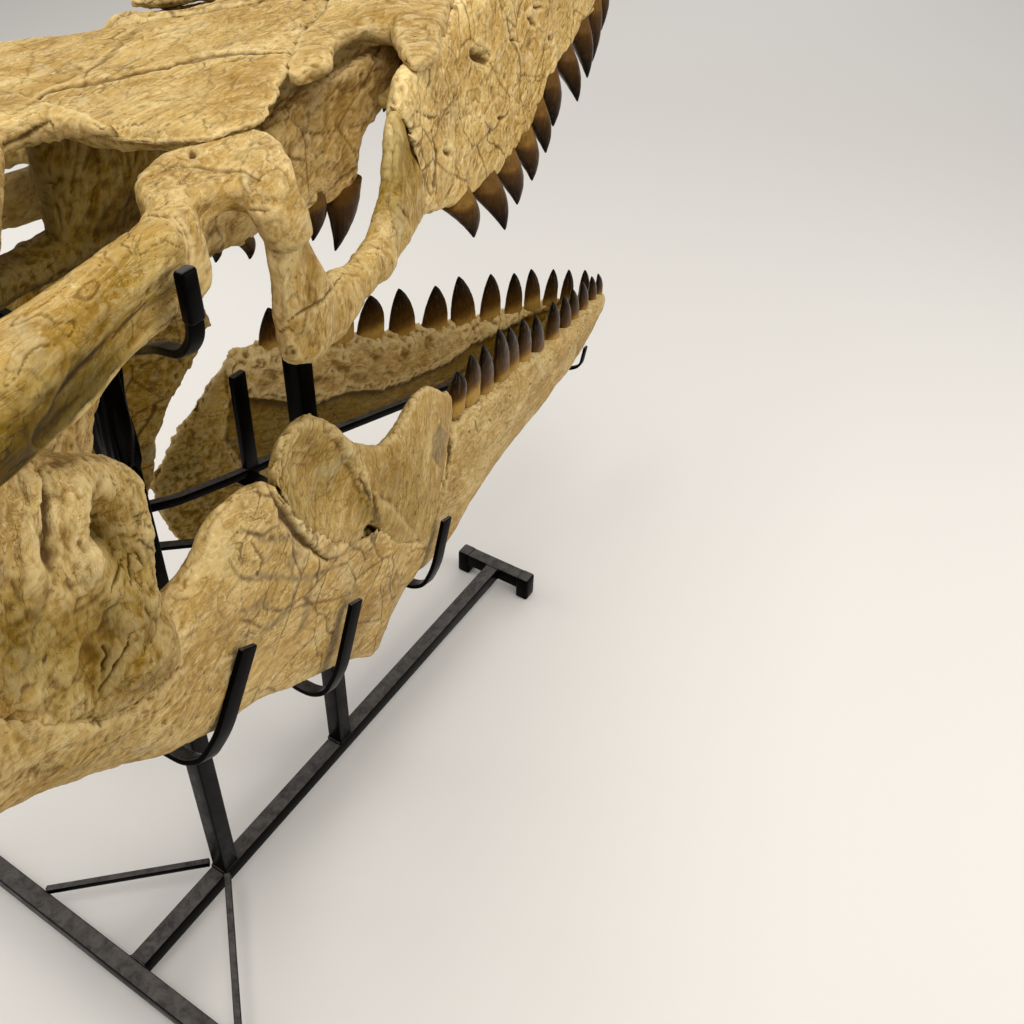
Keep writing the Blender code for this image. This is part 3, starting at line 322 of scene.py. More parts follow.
# ------------------------------------------------------------------ lofts
def pchip(t, Y, tn):
    """Smooth curve through the rows that never overshoots them."""
    h = np.diff(t)
    d = np.diff(Y, axis=0) / h[:, None]
    m = np.zeros_like(Y)
    if len(t) > 2:
        w1 = (2 * h[1:] + h[:-1])[:, None]
        w2 = (h[1:] + 2 * h[:-1])[:, None]
        same = d[:-1] * d[1:] > 0
        a = np.where(same, d[:-1], 1.0)
        b = np.where(same, d[1:], 1.0)
        m[1:-1] = np.where(same, (w1 + w2) / (w1 / a + w2 / b), 0.0)
    m[0], m[-1] = d[0], d[-1]
    i = np.clip(np.searchsorted(t, tn, "right") - 1, 0, len(t) - 2)
    s = ((tn - t[i]) / h[i])[:, None]
    hh = h[i][:, None]
    return ((2 * s**3 - 3 * s**2 + 1) * Y[i] + (s**3 - 2 * s**2 + s) * hh * m[i]
            + (-2 * s**3 + 3 * s**2) * Y[i + 1] + (s**3 - s**2) * hh * m[i + 1])


def skin(rings):
    """Closed triangle skin over rings (stations, points, 3), facing outward."""
    s, n, _ = rings.shape
    V = rings.reshape(-1, 3)
    idx = np.arange(s * n).reshape(s, n)
    a, b = idx[:-1], np.roll(idx, -1, 1)[:-1]
    c, d = idx[1:], np.roll(idx, -1, 1)[1:]
    F = np.concatenate((np.stack((a, b, d), -1).reshape(-1, 3), np.stack((a, d, c), -1).reshape(-1, 3)))
    V = np.concatenate((V, rings[0].mean(0)[None], rings[-1].mean(0)[None]))
    first, last = s * n, s * n + 1
    k = np.arange(n)
    F = np.concatenate((F, np.stack((np.roll(k, -1), k, np.full(n, first)), 1),
                        np.stack((k + (s - 1) * n, np.roll(k, -1) + (s - 1) * n, np.full(n, last)), 1)))
    T = V[F]
    if np.einsum("ij,ij->i", T[:, 0], np.cross(T[:, 1], T[:, 2])).sum() < 0:
        F = F[:, ::-1]
    return V, F


def loft(rows, axis="X", side=-1, n=56, e=2.6, bow=0.0, step=0.008):
    """Ovals along X: (x, w, z, half width, half height, tilt deg); along Z: (z, x, w, half x, half w, tilt deg)."""
    R = np.zeros((len(rows), 6))
    for i, r in enumerate(rows):
        R[i, :len(r)] = r
    t = np.concatenate(((0.0,), np.cumsum(np.linalg.norm(np.diff(R[:, :3], axis=0), axis=1))))
    tn = np.linspace(0, t[-1], max(3, int(t[-1] / step) + 1))
    R = pchip(t, R, tn)
    ang = 2 * math.pi * (np.arange(n) + 0.5) / n
    cx, sx = np.cos(ang), np.sin(ang)
    u = R[:, 3:4] * np.sign(cx) * np.abs(cx) ** (2 / e)
    v = R[:, 4:5] * np.sign(sx) * np.abs(sx) ** (2 / e)
    v = v - bow * (u / R[:, 3:4]) ** 2
    ct, st = np.cos(np.radians(R[:, 5:6])), np.sin(np.radians(R[:, 5:6]))
    du, dv = u * ct - v * st, u * st + v * ct
    p, c1, c2 = R[:, 0:1], R[:, 1:2], R[:, 2:3]
    if axis == "X":
        rings = np.stack((p + 0 * du, side * (c1 + du), c2 + dv), -1)
    else:
        rings = np.stack((c1 + du, side * (c2 + dv), p + 0 * du), -1)
    return skin(rings)


def blade(rows, side=-1, e=2.6, w_in=0.012, w_out=0.006, step=0.006):
    R = np.array(rows, float)
    t = np.concatenate(((0.0,), np.cumsum(np.abs(np.diff(R[:, 0])) + 1e-9)))
    tn = np.linspace(0, t[-1], int(t[-1] / step) + 2)
    R = pchip(t, R, tn)
    out = []
    for x, zb, zt, ht in R:
        w = jaw_w(x)
        wl, wh = w - w_in, w + w_out
        out.append((x, (wl + wh) / 2, (zb + zt) / 2, ht, (zt - zb) / 2, math.degrees(math.atan2(wl - wh, zt - zb))))
    return loft(out, "X", side, 64, e, 0.0, step)


def merged(parts):
    V, F, k = [], [], 0
    for v, f in parts:
        V.append(v)
        F.append(f + k)
        k += len(v)
    return np.concatenate(V), np.concatenate(F)


def keep_side(ob, point, normal):
    bm = bmesh.new()
    bm.from_mesh(ob.data)
    g = bm.verts[:] + bm.edges[:] + bm.faces[:]
    res = bmesh.ops.bisect_plane(bm, geom=g, plane_co=point, plane_no=normal, clear_outer=True)
    edges = [x for x in res["geom_cut"] if isinstance(x, bmesh.types.BMEdge)]
    bmesh.ops.holes_fill(bm, edges=edges)
    bmesh.ops.recalc_face_normals(bm, faces=bm.faces)
    bm.to_mesh(ob.data)
    bm.free()


# ------------------------------------------------------------------ bone shapes
DENTARY_R = (
    (0.400, 0.500, 0.690, 0.012), (0.450, 0.474, 0.680, 0.015), (0.530, 0.458, 0.655, 0.018),
    (0.609, 0.464, 0.632, 0.019), (0.711, 0.456, 0.602, 0.020), (0.800, 0.441, 0.575, 0.020),
    (0.867, 0.428, 0.553, 0.020), (0.960, 0.412, 0.527, 0.019), (1.055, 0.395, 0.502, 0.018),
    (1.125, 0.392, 0.486, 0.016), (1.193, 0.398, 0.470, 0.013), (1.222, 0.414, 0.452, 0.008),
)
DENTARY_L = (
    (0.334, 0.480, 0.532, 0.007), (0.346, 0.428, 0.545, 0.011), (0.372, 0.414, 0.570, 0.014),
    (0.410, 0.416, 0.606, 0.015), (0.452, 0.428, 0.640, 0.016), (0.490, 0.442, 0.662, 0.017),
) + tuple((x, b, t - 0.014 * min(1.0, (x - 0.5) / 0.1), w) for x, b, t, w in DENTARY_R[2:])
REAR_JAW_R = (
    (-0.238, 0.910, 0.950, 0.010), (-0.215, 0.886, 0.955, 0.016), (-0.170, 0.850, 0.935, 0.019),
    (-0.126, 0.820, 0.906, 0.021), (-0.068, 0.767, 0.878, 0.023), (-0.021, 0.719, 0.863, 0.024), (0.018, 0.689, 0.862, 0.022),
    (0.045, 0.666, 0.868, 0.020), (0.068, 0.653, 0.885, 0.018), (0.104, 0.631, 0.882, 0.017), (0.163, 0.583, 0.849, 0.016),
    (0.256, 0.515, 0.800, 0.016), (0.316, 0.468, 0.745, 0.016), (0.345, 0.486, 0.730, 0.016),
    (0.383, 0.490, 0.720, 0.015), (0.453, 0.474, 0.690, 0.014), (0.520, 0.462, 0.640, 0.010),
)
REAR_JAW_L = REAR_JAW_R[:11] + (
    (0.230, 0.545, 0.842, 0.016), (0.296, 0.515, 0.840, 0.015), (0.326, 0.540, 0.832, 0.015),
    (0.352, 0.610, 0.815, 0.014), (0.380, 0.650, 0.790, 0.012), (0.405, 0.672, 0.770, 0.010), (0.428, 0.700, 0.760, 0.007),
)
CORONOID_R = (
    (0.146, 0.842, 0.872, 0.006), (0.160, 0.800, 0.890, 0.010), (0.191, 0.752, 0.890, 0.013),
    (0.231, 0.704, 0.858, 0.014), (0.270, 0.680, 0.808, 0.014), (0.303, 0.662, 0.781, 0.013),
    (0.338, 0.620, 0.761, 0.013), (0.368, 0.595, 0.762, 0.013), (0.401, 0.570, 0.770, 0.013),
    (0.431, 0.545, 0.765, 0.012), (0.468, 0.600, 0.738, 0.010), (0.499, 0.665, 0.714, 0.006),
)
CORONOID_L = (
    (0.178, 0.830, 0.868, 0.006), (0.205, 0.780, 0.886, 0.010), (0.250, 0.740, 0.884, 0.013),
    (0.300, 0.715, 0.878, 0.014), (0.352, 0.690, 0.858, 0.013), (0.395, 0.695, 0.822, 0.012),
    (0.430, 0.700, 0.770, 0.010), (0.458, 0.712, 0.742, 0.006),
)
RAMUS = ((-0.100, 0.238, 1.062, 0.010, 0.014), (-0.070, 0.222, 1.070, 0.016, 0.017), (-0.020, 0.172, 1.080, 0.024, 0.018),
         (0.030, 0.118, 1.088, 0.030, 0.018), (0.075, 0.062, 1.094, 0.034, 0.017), (0.115, 0.025, 1.096, 0.024, 0.014))
PAROCCIPITAL = ((-0.030, 0.030, 1.030, 0.020, 0.016), (-0.050, 0.110, 1.032, 0.022, 0.016), (-0.078, 0.200, 1.036, 0.020, 0.014),
                (-0.092, 0.236, 1.040, 0.010, 0.010))


def maxilla_rows():
    rows = []
    for x, wl, zl, wu, zu, ht in (
            (0.390, 0.194, 0.990, 0.184, 1.072, 0.008), (0.410, 0.190, 0.970, 0.177, 1.084, 0.011),
            (0.440, 0.181, 0.954, 0.164, 1.090, 0.013), (0.490, 0.168, 0.938, 0.146, 1.094, 0.015),
            (0.560, 0.151, 0.922, 0.118, 1.096, 0.016), (0.670, 0.126, 0.915, 0.093, 1.098, 0.016),
            (0.718, 0.115, 0.922, 0.084, 1.099, 0.016), (0.790, 0.099, 0.955, 0.074, 1.099, 0.016),
            (0.880, 0.078, 0.970, 0.061, 1.098, 0.015), (1.000, 0.051, 0.991, 0.041, 1.093, 0.013),
            (1.085, 0.036, 1.022, 0.030, 1.082, 0.008)):
        tilt = math.degrees(math.atan2(wl - wu, zu - zl))
        rows.append((x, (wl + wu) / 2 - 0.006, (zl + zu) / 2, ht, math.hypot(wl - wu, zu - zl) / 2, tilt))
    return tuple(rows)


# name: (voxel size, parts)
FINE, MID, COARSE = 0.0020, 0.0026, 0.0036
SHAPES = {}
FRONTAL = (
    (0.152, 0, ROOF_Z, 0.050, 0.009), (0.168, 0, ROOF_Z, 0.094, 0.009), (0.184, 0, ROOF_Z, 0.128, 0.009),
    (0.202, 0, ROOF_Z, 0.153, 0.009), (0.226, 0, ROOF_Z, 0.160, 0.009), (0.250, 0, ROOF_Z, 0.161, 0.009),
    (0.272, 0, ROOF_Z, 0.153, 0.009), (0.296, 0, ROOF_Z, 0.138, 0.010), (0.325, 0, ROOF_Z, 0.118, 0.010),
    (0.366, 0, ROOF_Z, 0.093, 0.011), (0.430, 0, ROOF_Z, 0.058, 0.012),
    (0.485, 0, ROOF_Z, 0.034, 0.013), (0.530, 0, ROOF_Z, 0.014, 0.011))
SHAPES["frontal"] = (FINE, [loft(FRONTAL, n=96, e=5.0, bow=0.004)])
SHAPES["parietal"] = (FINE, [
    loft(((0.070, 0, 1.094, 0.052, 0.016), (0.100, 0, 1.096, 0.050, 0.016), (0.130, 0, 1.098, 0.046, 0.015),
          (0.150, 0, 1.099, 0.060, 0.013), (0.170, 0, 1.100, 0.105, 0.010)), e=3.5),
    loft(RAMUS, side=-1), loft(RAMUS, side=1)])
SHAPES["premaxilla"] = (MID, [
    loft(((1.045, 0, 1.061, 0.043, 0.041), (1.090, 0, 1.063, 0.042, 0.040), (1.140, 0, 1.066, 0.038, 0.036),
          (1.190, 0, 1.069, 0.029, 0.029), (1.216, 0, 1.070, 0.019, 0.021), (1.229, 0, 1.071, 0.008, 0.010)), e=2.5),
    loft(((0.485, 0, 1.102, 0.010, 0.008), (0.560, 0, 1.104, 0.019, 0.010), (0.700, 0, 1.107, 0.016, 0.010),
          (0.880, 0, 1.107, 0.017, 0.011), (1.000, 0, 1.100, 0.028, 0.014), (1.080, 0, 1.090, 0.034, 0.014)))])
SHAPES["vomer"] = (COARSE, [loft((
    (0.620, 0, 1.036, 0.012, 0.007), (0.700, 0, 1.036, 0.022, 0.009), (0.820, 0, 1.037, 0.020, 0.009),
    (0.960, 0, 1.041, 0.016, 0.009), (1.055, 0, 1.046, 0.012, 0.008)), e=3.0)])
SHAPES["braincase"] = (MID, [
    loft(((-0.075, 0, 1.012, 0.020, 0.018), (-0.050, 0, 1.012, 0.026, 0.024), (-0.020, 0, 1.016, 0.036, 0.030),
          (0.020, 0, 1.028, 0.040, 0.046), (0.070, 0, 1.030, 0.030, 0.050), (0.088, 0, 1.010, 0.022, 0.040))),
    loft(((0.040, 0, 0.984, 0.022, 0.016), (0.110, 0, 0.980, 0.026, 0.013), (0.200, 0, 0.980, 0.020, 0.013),
          (0.320, 0, 0.984, 0.011, 0.011), (0.455, 0, 0.990, 0.006, 0.007))),
    loft(((0.168, 0, 1.035, 0.012, 0.045), (0.190, 0, 1.034, 0.018, 0.058), (0.240, 0, 1.034, 0.020, 0.058),
          (0.285, 0, 1.040, 0.012, 0.050)), e=3.0),
    loft(PAROCCIPITAL, side=-1), loft(PAROCCIPITAL, side=1)])
for side, tag, seen in ((-1, "_R", True), (1, "_L", False)):
    SHAPES["maxilla" + tag] = (FINE if seen else COARSE, [loft(maxilla_rows(), "X", side, e=3.0)])
    SHAPES["prefrontal" + tag] = (FINE if seen else MID, [loft((
        (0.346, 0.106, 1.091, 0.010, 0.005, 0), (0.364, 0.098, 1.091, 0.019, 0.008, -2),
        (0.386, 0.094, 1.092, 0.024, 0.008, -2), (0.412, 0.079, 1.093, 0.020, 0.008, -3), (0.445, 0.066, 1.094, 0.021, 0.008, -4),
        (0.474, 0.063, 1.095, 0.025, 0.009, -5), (0.500, 0.082, 1.096, 0.056, 0.012, -6), (0.530, 0.078, 1.097, 0.058, 0.012, -6),
        (0.570, 0.066, 1.098, 0.048, 0.011, -6), (0.620, 0.060, 1.099, 0.032, 0.010, -4),
        (0.665, 0.060, 1.099, 0.012, 0.007, 0)), "X", side, e=3.6),
        loft(((0.432, 0.168, 1.089, 0.004, 0.004, 0), (0.446, 0.160, 1.090, 0.014, 0.0065, -10), (0.462, 0.150, 1.091, 0.022, 0.0075, -12),
              (0.480, 0.139, 1.093, 0.026, 0.008, -12), (0.505, 0.124, 1.095, 0.026, 0.009, -9), (0.535, 0.108, 1.096, 0.016, 0.008, -6)), "X", side, e=4.5)])
    SHAPES["postorbitofrontal" + tag] = (0.0017 if seen else COARSE, [
        loft(((-0.010, 0.262, 1.084, 0.012, 0.020, 12), (0.020, 0.258, 1.084, 0.018, 0.026, 12),
              (0.060, 0.250, 1.084, 0.021, 0.027, 10), (0.092, 0.236, 1.084, 0.024, 0.024, 8),
              (0.114, 0.207, 1.087, 0.027, 0.016, 4), (0.132, 0.191, 1.088, 0.032, 0.012, 2), (0.152, 0.187, 1.088, 0.037, 0.011, 0),
              (0.172, 0.196, 1.086, 0.050, 0.011, -2), (0.192, 0.196, 1.086, 0.047, 0.010, -3), (0.222, 0.184, 1.087, 0.032, 0.009, -3),
              (0.246, 0.168, 1.088, 0.010, 0.006, 0)), "X", side, e=4.0),
        loft(((1.050, 0.183, 0.244, 0.0185, 0.0100), (1.068, 0.179, 0.241, 0.0195, 0.0115), (1.084, 0.177, 0.234, 0.021, 0.012)),
             "Z", side)])
    SHAPES["squamosal" + tag] = (0.0017 if seen else COARSE, [loft((
        (0.112, 0.222, 1.085, 0.012, 0.012, 6), (0.092, 0.236, 1.084, 0.024, 0.024, 8), (0.060, 0.250, 1.084, 0.021, 0.027, 10),
        (0.020, 0.258, 1.084, 0.018, 0.027, 12),
        (-0.040, 0.272, 1.082, 0.024, 0.030, 10), (-0.090, 0.281, 1.080, 0.030, 0.030, 0),
        (-0.130, 0.284, 1.074, 0.026, 0.024, 0), (-0.152, 0.284, 1.070, 0.012, 0.012, 0)), "X", side)])
    SHAPES["jugal" + tag] = (0.0017 if seen else COARSE, [
        loft(((0.956, 0.188, 0.243, 0.016, 0.007), (0.972, 0.190, 0.242, 0.027, 0.011), (0.992, 0.192, 0.242, 0.029, 0.0115),
              (1.012, 0.189, 0.241, 0.025, 0.0105), (1.040, 0.1845, 0.240, 0.0185, 0.0090), (1.072, 0.178, 0.238, 0.0165, 0.0085)), "Z", side),
        loft(((0.172, 0.244, 0.982, 0.006, 0.014, 0), (0.192, 0.240, 0.976, 0.012, 0.020, 0), (0.235, 0.232, 0.974, 0.013, 0.023, 0),
              (0.280, 0.221, 0.973, 0.012, 0.015, 0), (0.315, 0.213, 0.974, 0.012, 0.017, 2),
              (0.340, 0.205, 0.984, 0.011, 0.023, 4), (0.358, 0.200, 1.000, 0.011, 0.038, 6), (0.382, 0.190, 1.014, 0.009, 0.054, 8),
              (0.420, 0.177, 1.014, 0.007, 0.048, 10)),
             "X", side)])
    SHAPES["quadrate" + tag] = (0.0017 if seen else COARSE, [
        loft(((0.828, -0.030, 0.272, 0.018, 0.012), (0.842, -0.042, 0.269, 0.034, 0.022), (0.868, -0.058, 0.266, 0.052, 0.030),
              (0.905, -0.078, 0.264, 0.066, 0.033), (0.945, -0.084, 0.261, 0.078, 0.034), (0.975, -0.086, 0.260, 0.086, 0.035),
              (0.996, -0.092, 0.260, 0.078, 0.034), (1.025, -0.106, 0.267, 0.058, 0.027), (1.052, -0.116, 0.272, 0.038, 0.018)), "Z", side, e=2.8),
        loft(((0.905, -0.196, 0.248, 0.013, 0.014), (0.930, -0.198, 0.248, 0.020, 0.022), (0.980, -0.190, 0.250, 0.026, 0.028),
              (1.015, -0.166, 0.254, 0.034, 0.031), (1.038, -0.135, 0.258, 0.040, 0.030), (1.050, -0.110, 0.260, 0.030, 0.026)),
             "Z", side, e=2.4)])
    SHAPES["pterygoid" + tag] = (FINE, [loft((
        (-0.030, 0.222, 0.960, 0.006, 0.018, 0), (0.000, 0.208, 0.975, 0.007, 0.034, 0), (0.040, 0.180, 1.000, 0.007, 0.040, 0),
        (0.090, 0.140, 1.005, 0.008, 0.036, 0), (0.150, 0.104, 0.996, 0.010, 0.022, 0), (0.210, 0.086, 0.992, 0.013, 0.022, 0),
        (0.280, 0.080, 1.000, 0.014, 0.036, 0), (0.350, 0.080, 1.006, 0.014, 0.047, 0), (0.410, 0.080, 1.011, 0.013, 0.056, 0),
        (0.442, 0.080, 1.013, 0.012, 0.056, 0), (0.458, 0.080, 1.031, 0.012, 0.040, 0), (0.480, 0.080, 1.041, 0.011, 0.032, 0),
        (0.520, 0.080, 1.050, 0.010, 0.024, 0), (0.556, 0.079, 1.059, 0.007, 0.014, 0)),
        "X", side)])
    SHAPES["palatine" + tag] = (MID, [loft((
        (0.480, 0.104, 1.032, 0.012, 0.008, 10), (0.520, 0.108, 1.036, 0.026, 0.010, 8), (0.580, 0.096, 1.038, 0.034, 0.011, 6),
        (0.660, 0.072, 1.036, 0.028, 0.010, 4), (0.740, 0.048, 1.036, 0.018, 0.009, 0), (0.790, 0.036, 1.037, 0.008, 0.006, 0)),
        "X", side, e=3.0)])
    SHAPES["dentary" + tag] = (FINE if seen else MID, [blade(DENTARY_R if seen else DENTARY_L, side, 2.4)])
    SHAPES["surangular_angular" + tag] = (0.0020 if seen else MID, [blade(REAR_JAW_R if seen else REAR_JAW_L, side, 2.3)])
    SHAPES["coronoid" + tag] = (0.0018 if seen else MID, [blade(CORONOID_R if seen else CORONOID_L, side, 2.2, -0.004, 0.010)])

# which bones are cut back by which neighbours, as in the CAD
TRIMS = {"parietal": ["frontal", "squamosal_R", "squamosal_L"], "premaxilla": ["frontal"], "vomer": ["premaxilla"],
         "braincase": ["parietal", "frontal"]}
for tag in ("_R", "_L"):
    TRIMS["prefrontal" + tag] = ["frontal", "premaxilla"]
    TRIMS["postorbitofrontal" + tag] = ["frontal", "parietal"]
    TRIMS["jugal" + tag] = ["postorbitofrontal" + tag]
    TRIMS["maxilla" + tag] = ["jugal" + tag, "prefrontal" + tag, "premaxilla"]
    TRIMS["quadrate" + tag] = ["squamosal" + tag]
    TRIMS["pterygoid" + tag] = ["quadrate" + tag]
    TRIMS["palatine" + tag] = ["pterygoid" + tag, "maxilla" + tag, "vomer", "prefrontal" + tag]
    TRIMS["surangular_angular" + tag] = ["coronoid" + tag, "quadrate" + tag]
    TRIMS["dentary" + tag] = ["coronoid" + tag]
SEAM_GAP = 0.0007
MORE = 1.0      # coarser skins while trying things

BASE = {}
for name, (size, parts) in SHAPES.items():
    V, F = merged(parts)
    ob = new_object("base_" + name, V, F)
    if name.startswith("squamosal") or name.startswith("postorbitofrontal"):
        n_arch = Vector((1.0, 0, -0.55)).normalized()
        p_arch = Vector((0.066, 0, 1.083))
        sign = 1 if name.startswith("squamosal") else -1
    voxel(ob, size * MORE)
    BASE[name] = ob
    if name.startswith("squamosal") or name.startswith("postorbitofrontal"):
        keep_side(ob, p_arch - sign * n_arch * (SEAM_GAP / 2), sign * n_arch)
    if name in ("dentary_R", "surangular_angular_R"):
        seam = Vector((0.070, 0, 0.155)).cross(Vector((0, 1, 0))).normalized()
        seam = -seam if seam.x > 0 else seam
        sign = 1 if name == "dentary_R" else -1
        keep_side(ob, Vector((0.455, 0, 0.560)) - sign * seam * (SEAM_GAP / 2), sign * seam)
    if name.startswith("dentary"):
        s = -1 if name.endswith("_R") else 1
        keep_side(ob, Vector((0, s * 0.0003, 0)), Vector((0, -s, 0)))
print("BASES", round(time.perf_counter() - T0, 1))

GROWN = {}


def grown(name):
    if name not in GROWN:
        o = copy_of(BASE[name], "grown_" + name)
        set_coords(o.data, coords(o.data) + vertex_normals(o.data) * SEAM_GAP)
        GROWN[name] = o
    return GROWN[name]


def keep_largest(ob):
    """Drops the crumbs that a cut leaves beside the bone."""
    me = ob.data
    ends = np.empty(2 * len(me.edges), np.int32)
    me.edges.foreach_get("vertices", ends)
    a, b = ends[0::2], ends[1::2]
    label = np.arange(len(me.vertices))
    while True:
        lo, hi = np.minimum(label[a], label[b]), np.maximum(label[a], label[b])
        apart = lo < hi
        if not apart.any():
            break
        label[hi[apart]] = lo[apart]
        while True:
            nearer = label[label]
            if (nearer == label).all():
                break
            label = nearer
    keep = label == np.bincount(label).argmax()
    if keep.all():
        return
    bm = bmesh.new()
    bm.from_mesh(me)
    bm.verts.ensure_lookup_table()
    bmesh.ops.delete(bm, geom=[bm.verts[int(i)] for i in np.flatnonzero(~keep)], context="VERTS")
    bm.to_mesh(me)
    bm.free()


BONES = {}
for name, (size, parts) in SHAPES.items():
    ob = copy_of(BASE[name], name + "_bone")
    cuts = [t for t in TRIMS.get(name, ()) if near(ob, BASE[t])]
    for t in cuts:
        cut(ob, grown(t))
    if cuts or name.startswith(("squamosal", "dentary", "surangular")):
        voxel(ob, size * MORE)
        keep_largest(ob)
    BONES[name] = ob
for o in list(BASE.values()) + list(GROWN.values()):
    drop(o)
print("TRIMMED", round(time.perf_counter() - T0, 1), sum(len(o.data.polygons) for o in BONES.values()))


# ------------------------------------------------------------------ carving
class Clay:
    """A bone's skin while it is carved: positions, normals, and the marks its material reads."""

    def __init__(self, ob, seed):
        self.ob, self.me, self.seed = ob, ob.data, seed
        self.P = coords(self.me)
        self.E = edges_of(self.me)
        self.P = relax(self.P, self.E, 3)
        self.start = self.P.copy()
        # dark cracks and sutures, with painted shade in pits and pores
        self.crack_and_pit_shade = np.zeros(len(self.P))
        self.fill = np.zeros(len(self.P))
        # painted light above zero and painted shade below zero, which the material turns into brighter and darker bone
        self.tone = np.zeros(len(self.P))
        self.refresh()

    def refresh(self):
        set_coords(self.me, self.P)
        self.N = vertex_normals(self.me)
        self.px, self.depth = screen(self.P)
        to_eye = EYE - self.P
        to_eye /= np.linalg.norm(to_eye, axis=1)[:, None]
        self.facing = np.einsum("ij,ij->i", self.N, to_eye)
        self.seen = smooth(0.0, 0.25, self.facing)

    def move(self, d):
        self.P = self.P + self.N * d[:, None]

    def rough(self, scale, amp, octaves=3, seed=0, along=None, factor=1.0, ridges=False, warped=0.0, mask=1.0):
        Q = self.P if along is None else stretched(self.P, along, factor)
        if warped:
            Q = warp(Q, scale * 2.2, warped, self.seed + seed + 7)
        f = ridged if ridges else fbm
        d = f(Q, scale, octaves, self.seed + seed)
        self.move(d * amp * mask)
        return d

    def pixel_noise(self, scale, amount, seed):
        """A wobble of the frame coordinates, so that lines drawn in them run as cracks do."""
        return self.px + amount * np.stack((fbm(self.P, scale, 3, seed), fbm(self.P, scale, 3, seed + 5)), 1)

    def line_distance(self, line, px, taper=0.0):
        """Distance in metres, across the view, to a line given in the frame; with taper, it grows towards the line's ends."""
        best = np.full(len(px), 1e9)
        L = np.array(line, float)
        run = np.concatenate(((0.0,), np.cumsum(np.hypot(*np.diff(L, axis=0).T))))
        for a, b, s0, s1 in zip(L[:-1], L[1:], run[:-1], run[1:]):
            d = b - a
            t = np.clip(((px - a) @ d) / (d @ d + 1e-9), 0, 1)
            dist = np.hypot(*(px - a - t[:, None] * d).T)
            if taper:
                u = (s0 + (s1 - s0) * t) / run[-1]
                dist = dist / (0.25 + 0.75 * np.minimum(1.0, np.minimum(u, 1 - u) / taper))
            best = np.minimum(best, dist)
        return best * self.depth / FOCAL

    def inside(self, poly, px):
        x, y = px[:, 0], px[:, 1]
        hit = np.zeros(len(px), bool)
        for (x0, y0), (x1, y1) in zip(poly, poly[1:] + poly[:1]):
            hit ^= ((y0 > y) != (y1 > y)) & (x < (x1 - x0) * (y - y0) / (y1 - y0 + 1e-12) + x0)
        return hit

    def groove(self, lines, width, depth, fill=0.0, wobble=2.0, lip=0.0):
        """Cracks and sutures: half width and depth in metres."""
        px = self.pixel_noise(0.012, wobble, self.seed + 900)
        d = np.full(len(px), 1e9)
        for line in lines:
            d = np.minimum(d, self.line_distance(line, px, 0.35))
        thin = min(1.0, width / 0.0022)
        w = max(width, 0.0022) * np.clip(1 + 0.7 * fbm(self.P, 0.018, 2, self.seed + 901), 0.5, 2)
        g = (1 - smooth(0.25, 1.0, d / w)) * self.seen * smooth(0.15, 0.40, self.facing)
        self.move(-depth * g)
        if lip:
            self.move(lip * (smooth(0.6, 1.1, d / w) * (1 - smooth(1.1, 3.0, d / w))) * self.seen)
        if fill:
            self.fill = np.maximum(self.fill, fill * g)
        else:
            self.crack_and_pit_shade = np.maximum(self.crack_and_pit_shade, g * thin)
        return d

    def plate(self, poly, height, edge, wobble=2.0, fill=0.0, tone=0.0, crack_and_pit_shade=0.0):
        """Raises (or sinks) the skin inside an outline given in the frame, and can paint light (a positive amount) and
        shade (a negative amount) inside it.
        """
        px = self.pixel_noise(0.012, wobble, self.seed + 910)
        d = self.line_distance(list(poly) + [poly[0]], px)
        sd = np.where(self.inside(list(poly), px), d, -d)
        m = smooth(-edge, edge, sd) * self.seen
        self.move(height * m)
        if fill:
            self.fill = np.maximum(self.fill, fill * m)
        if tone:
            self.tone = self.tone + tone * m
        if crack_and_pit_shade:
            self.crack_and_pit_shade = np.maximum(self.crack_and_pit_shade, crack_and_pit_shade * np.exp(-(sd / edge) ** 2) * self.seen)
        return m

    def pit(self, px, radius, depth, rim=0.0, squeeze=(1.0, 0.0), dark=1.0):
        """A hollow at a place in the frame; squeeze is (length over width, turn in degrees), and dark sets how much
        painted shade fills the hollow.
        """
        c, s = math.cos(math.radians(squeeze[1])), math.sin(math.radians(squeeze[1]))
        q = self.pixel_noise(0.01, 2.0, self.seed + 920) - np.array(px)
        q = np.stack((q[:, 0] * c + q[:, 1] * s, -q[:, 0] * s + q[:, 1] * c), 1) * (self.depth / FOCAL)[:, None]
        d = np.hypot(q[:, 0] / squeeze[0], q[:, 1]) / radius
        g = (1 - smooth(0.2, 1.0, d)) * self.seen
        self.move(-depth * g)
        if rim:
            self.move(rim * np.exp(-((d - 1.25) / 0.35) ** 2) * self.seen)
        self.crack_and_pit_shade = np.maximum(self.crack_and_pit_shade, dark * g ** 1.5)

    def pores(self, scale, depth, threshold, seed, mask=1.0):
        v = noise(self.P, scale, self.seed + seed)
        g = smooth(threshold, threshold + 0.18, v) * mask
        self.move(-depth * g)
        # the pores are darkened: painted shade in the holes
        self.crack_and_pit_shade = np.maximum(self.crack_and_pit_shade, 0.8 * g)

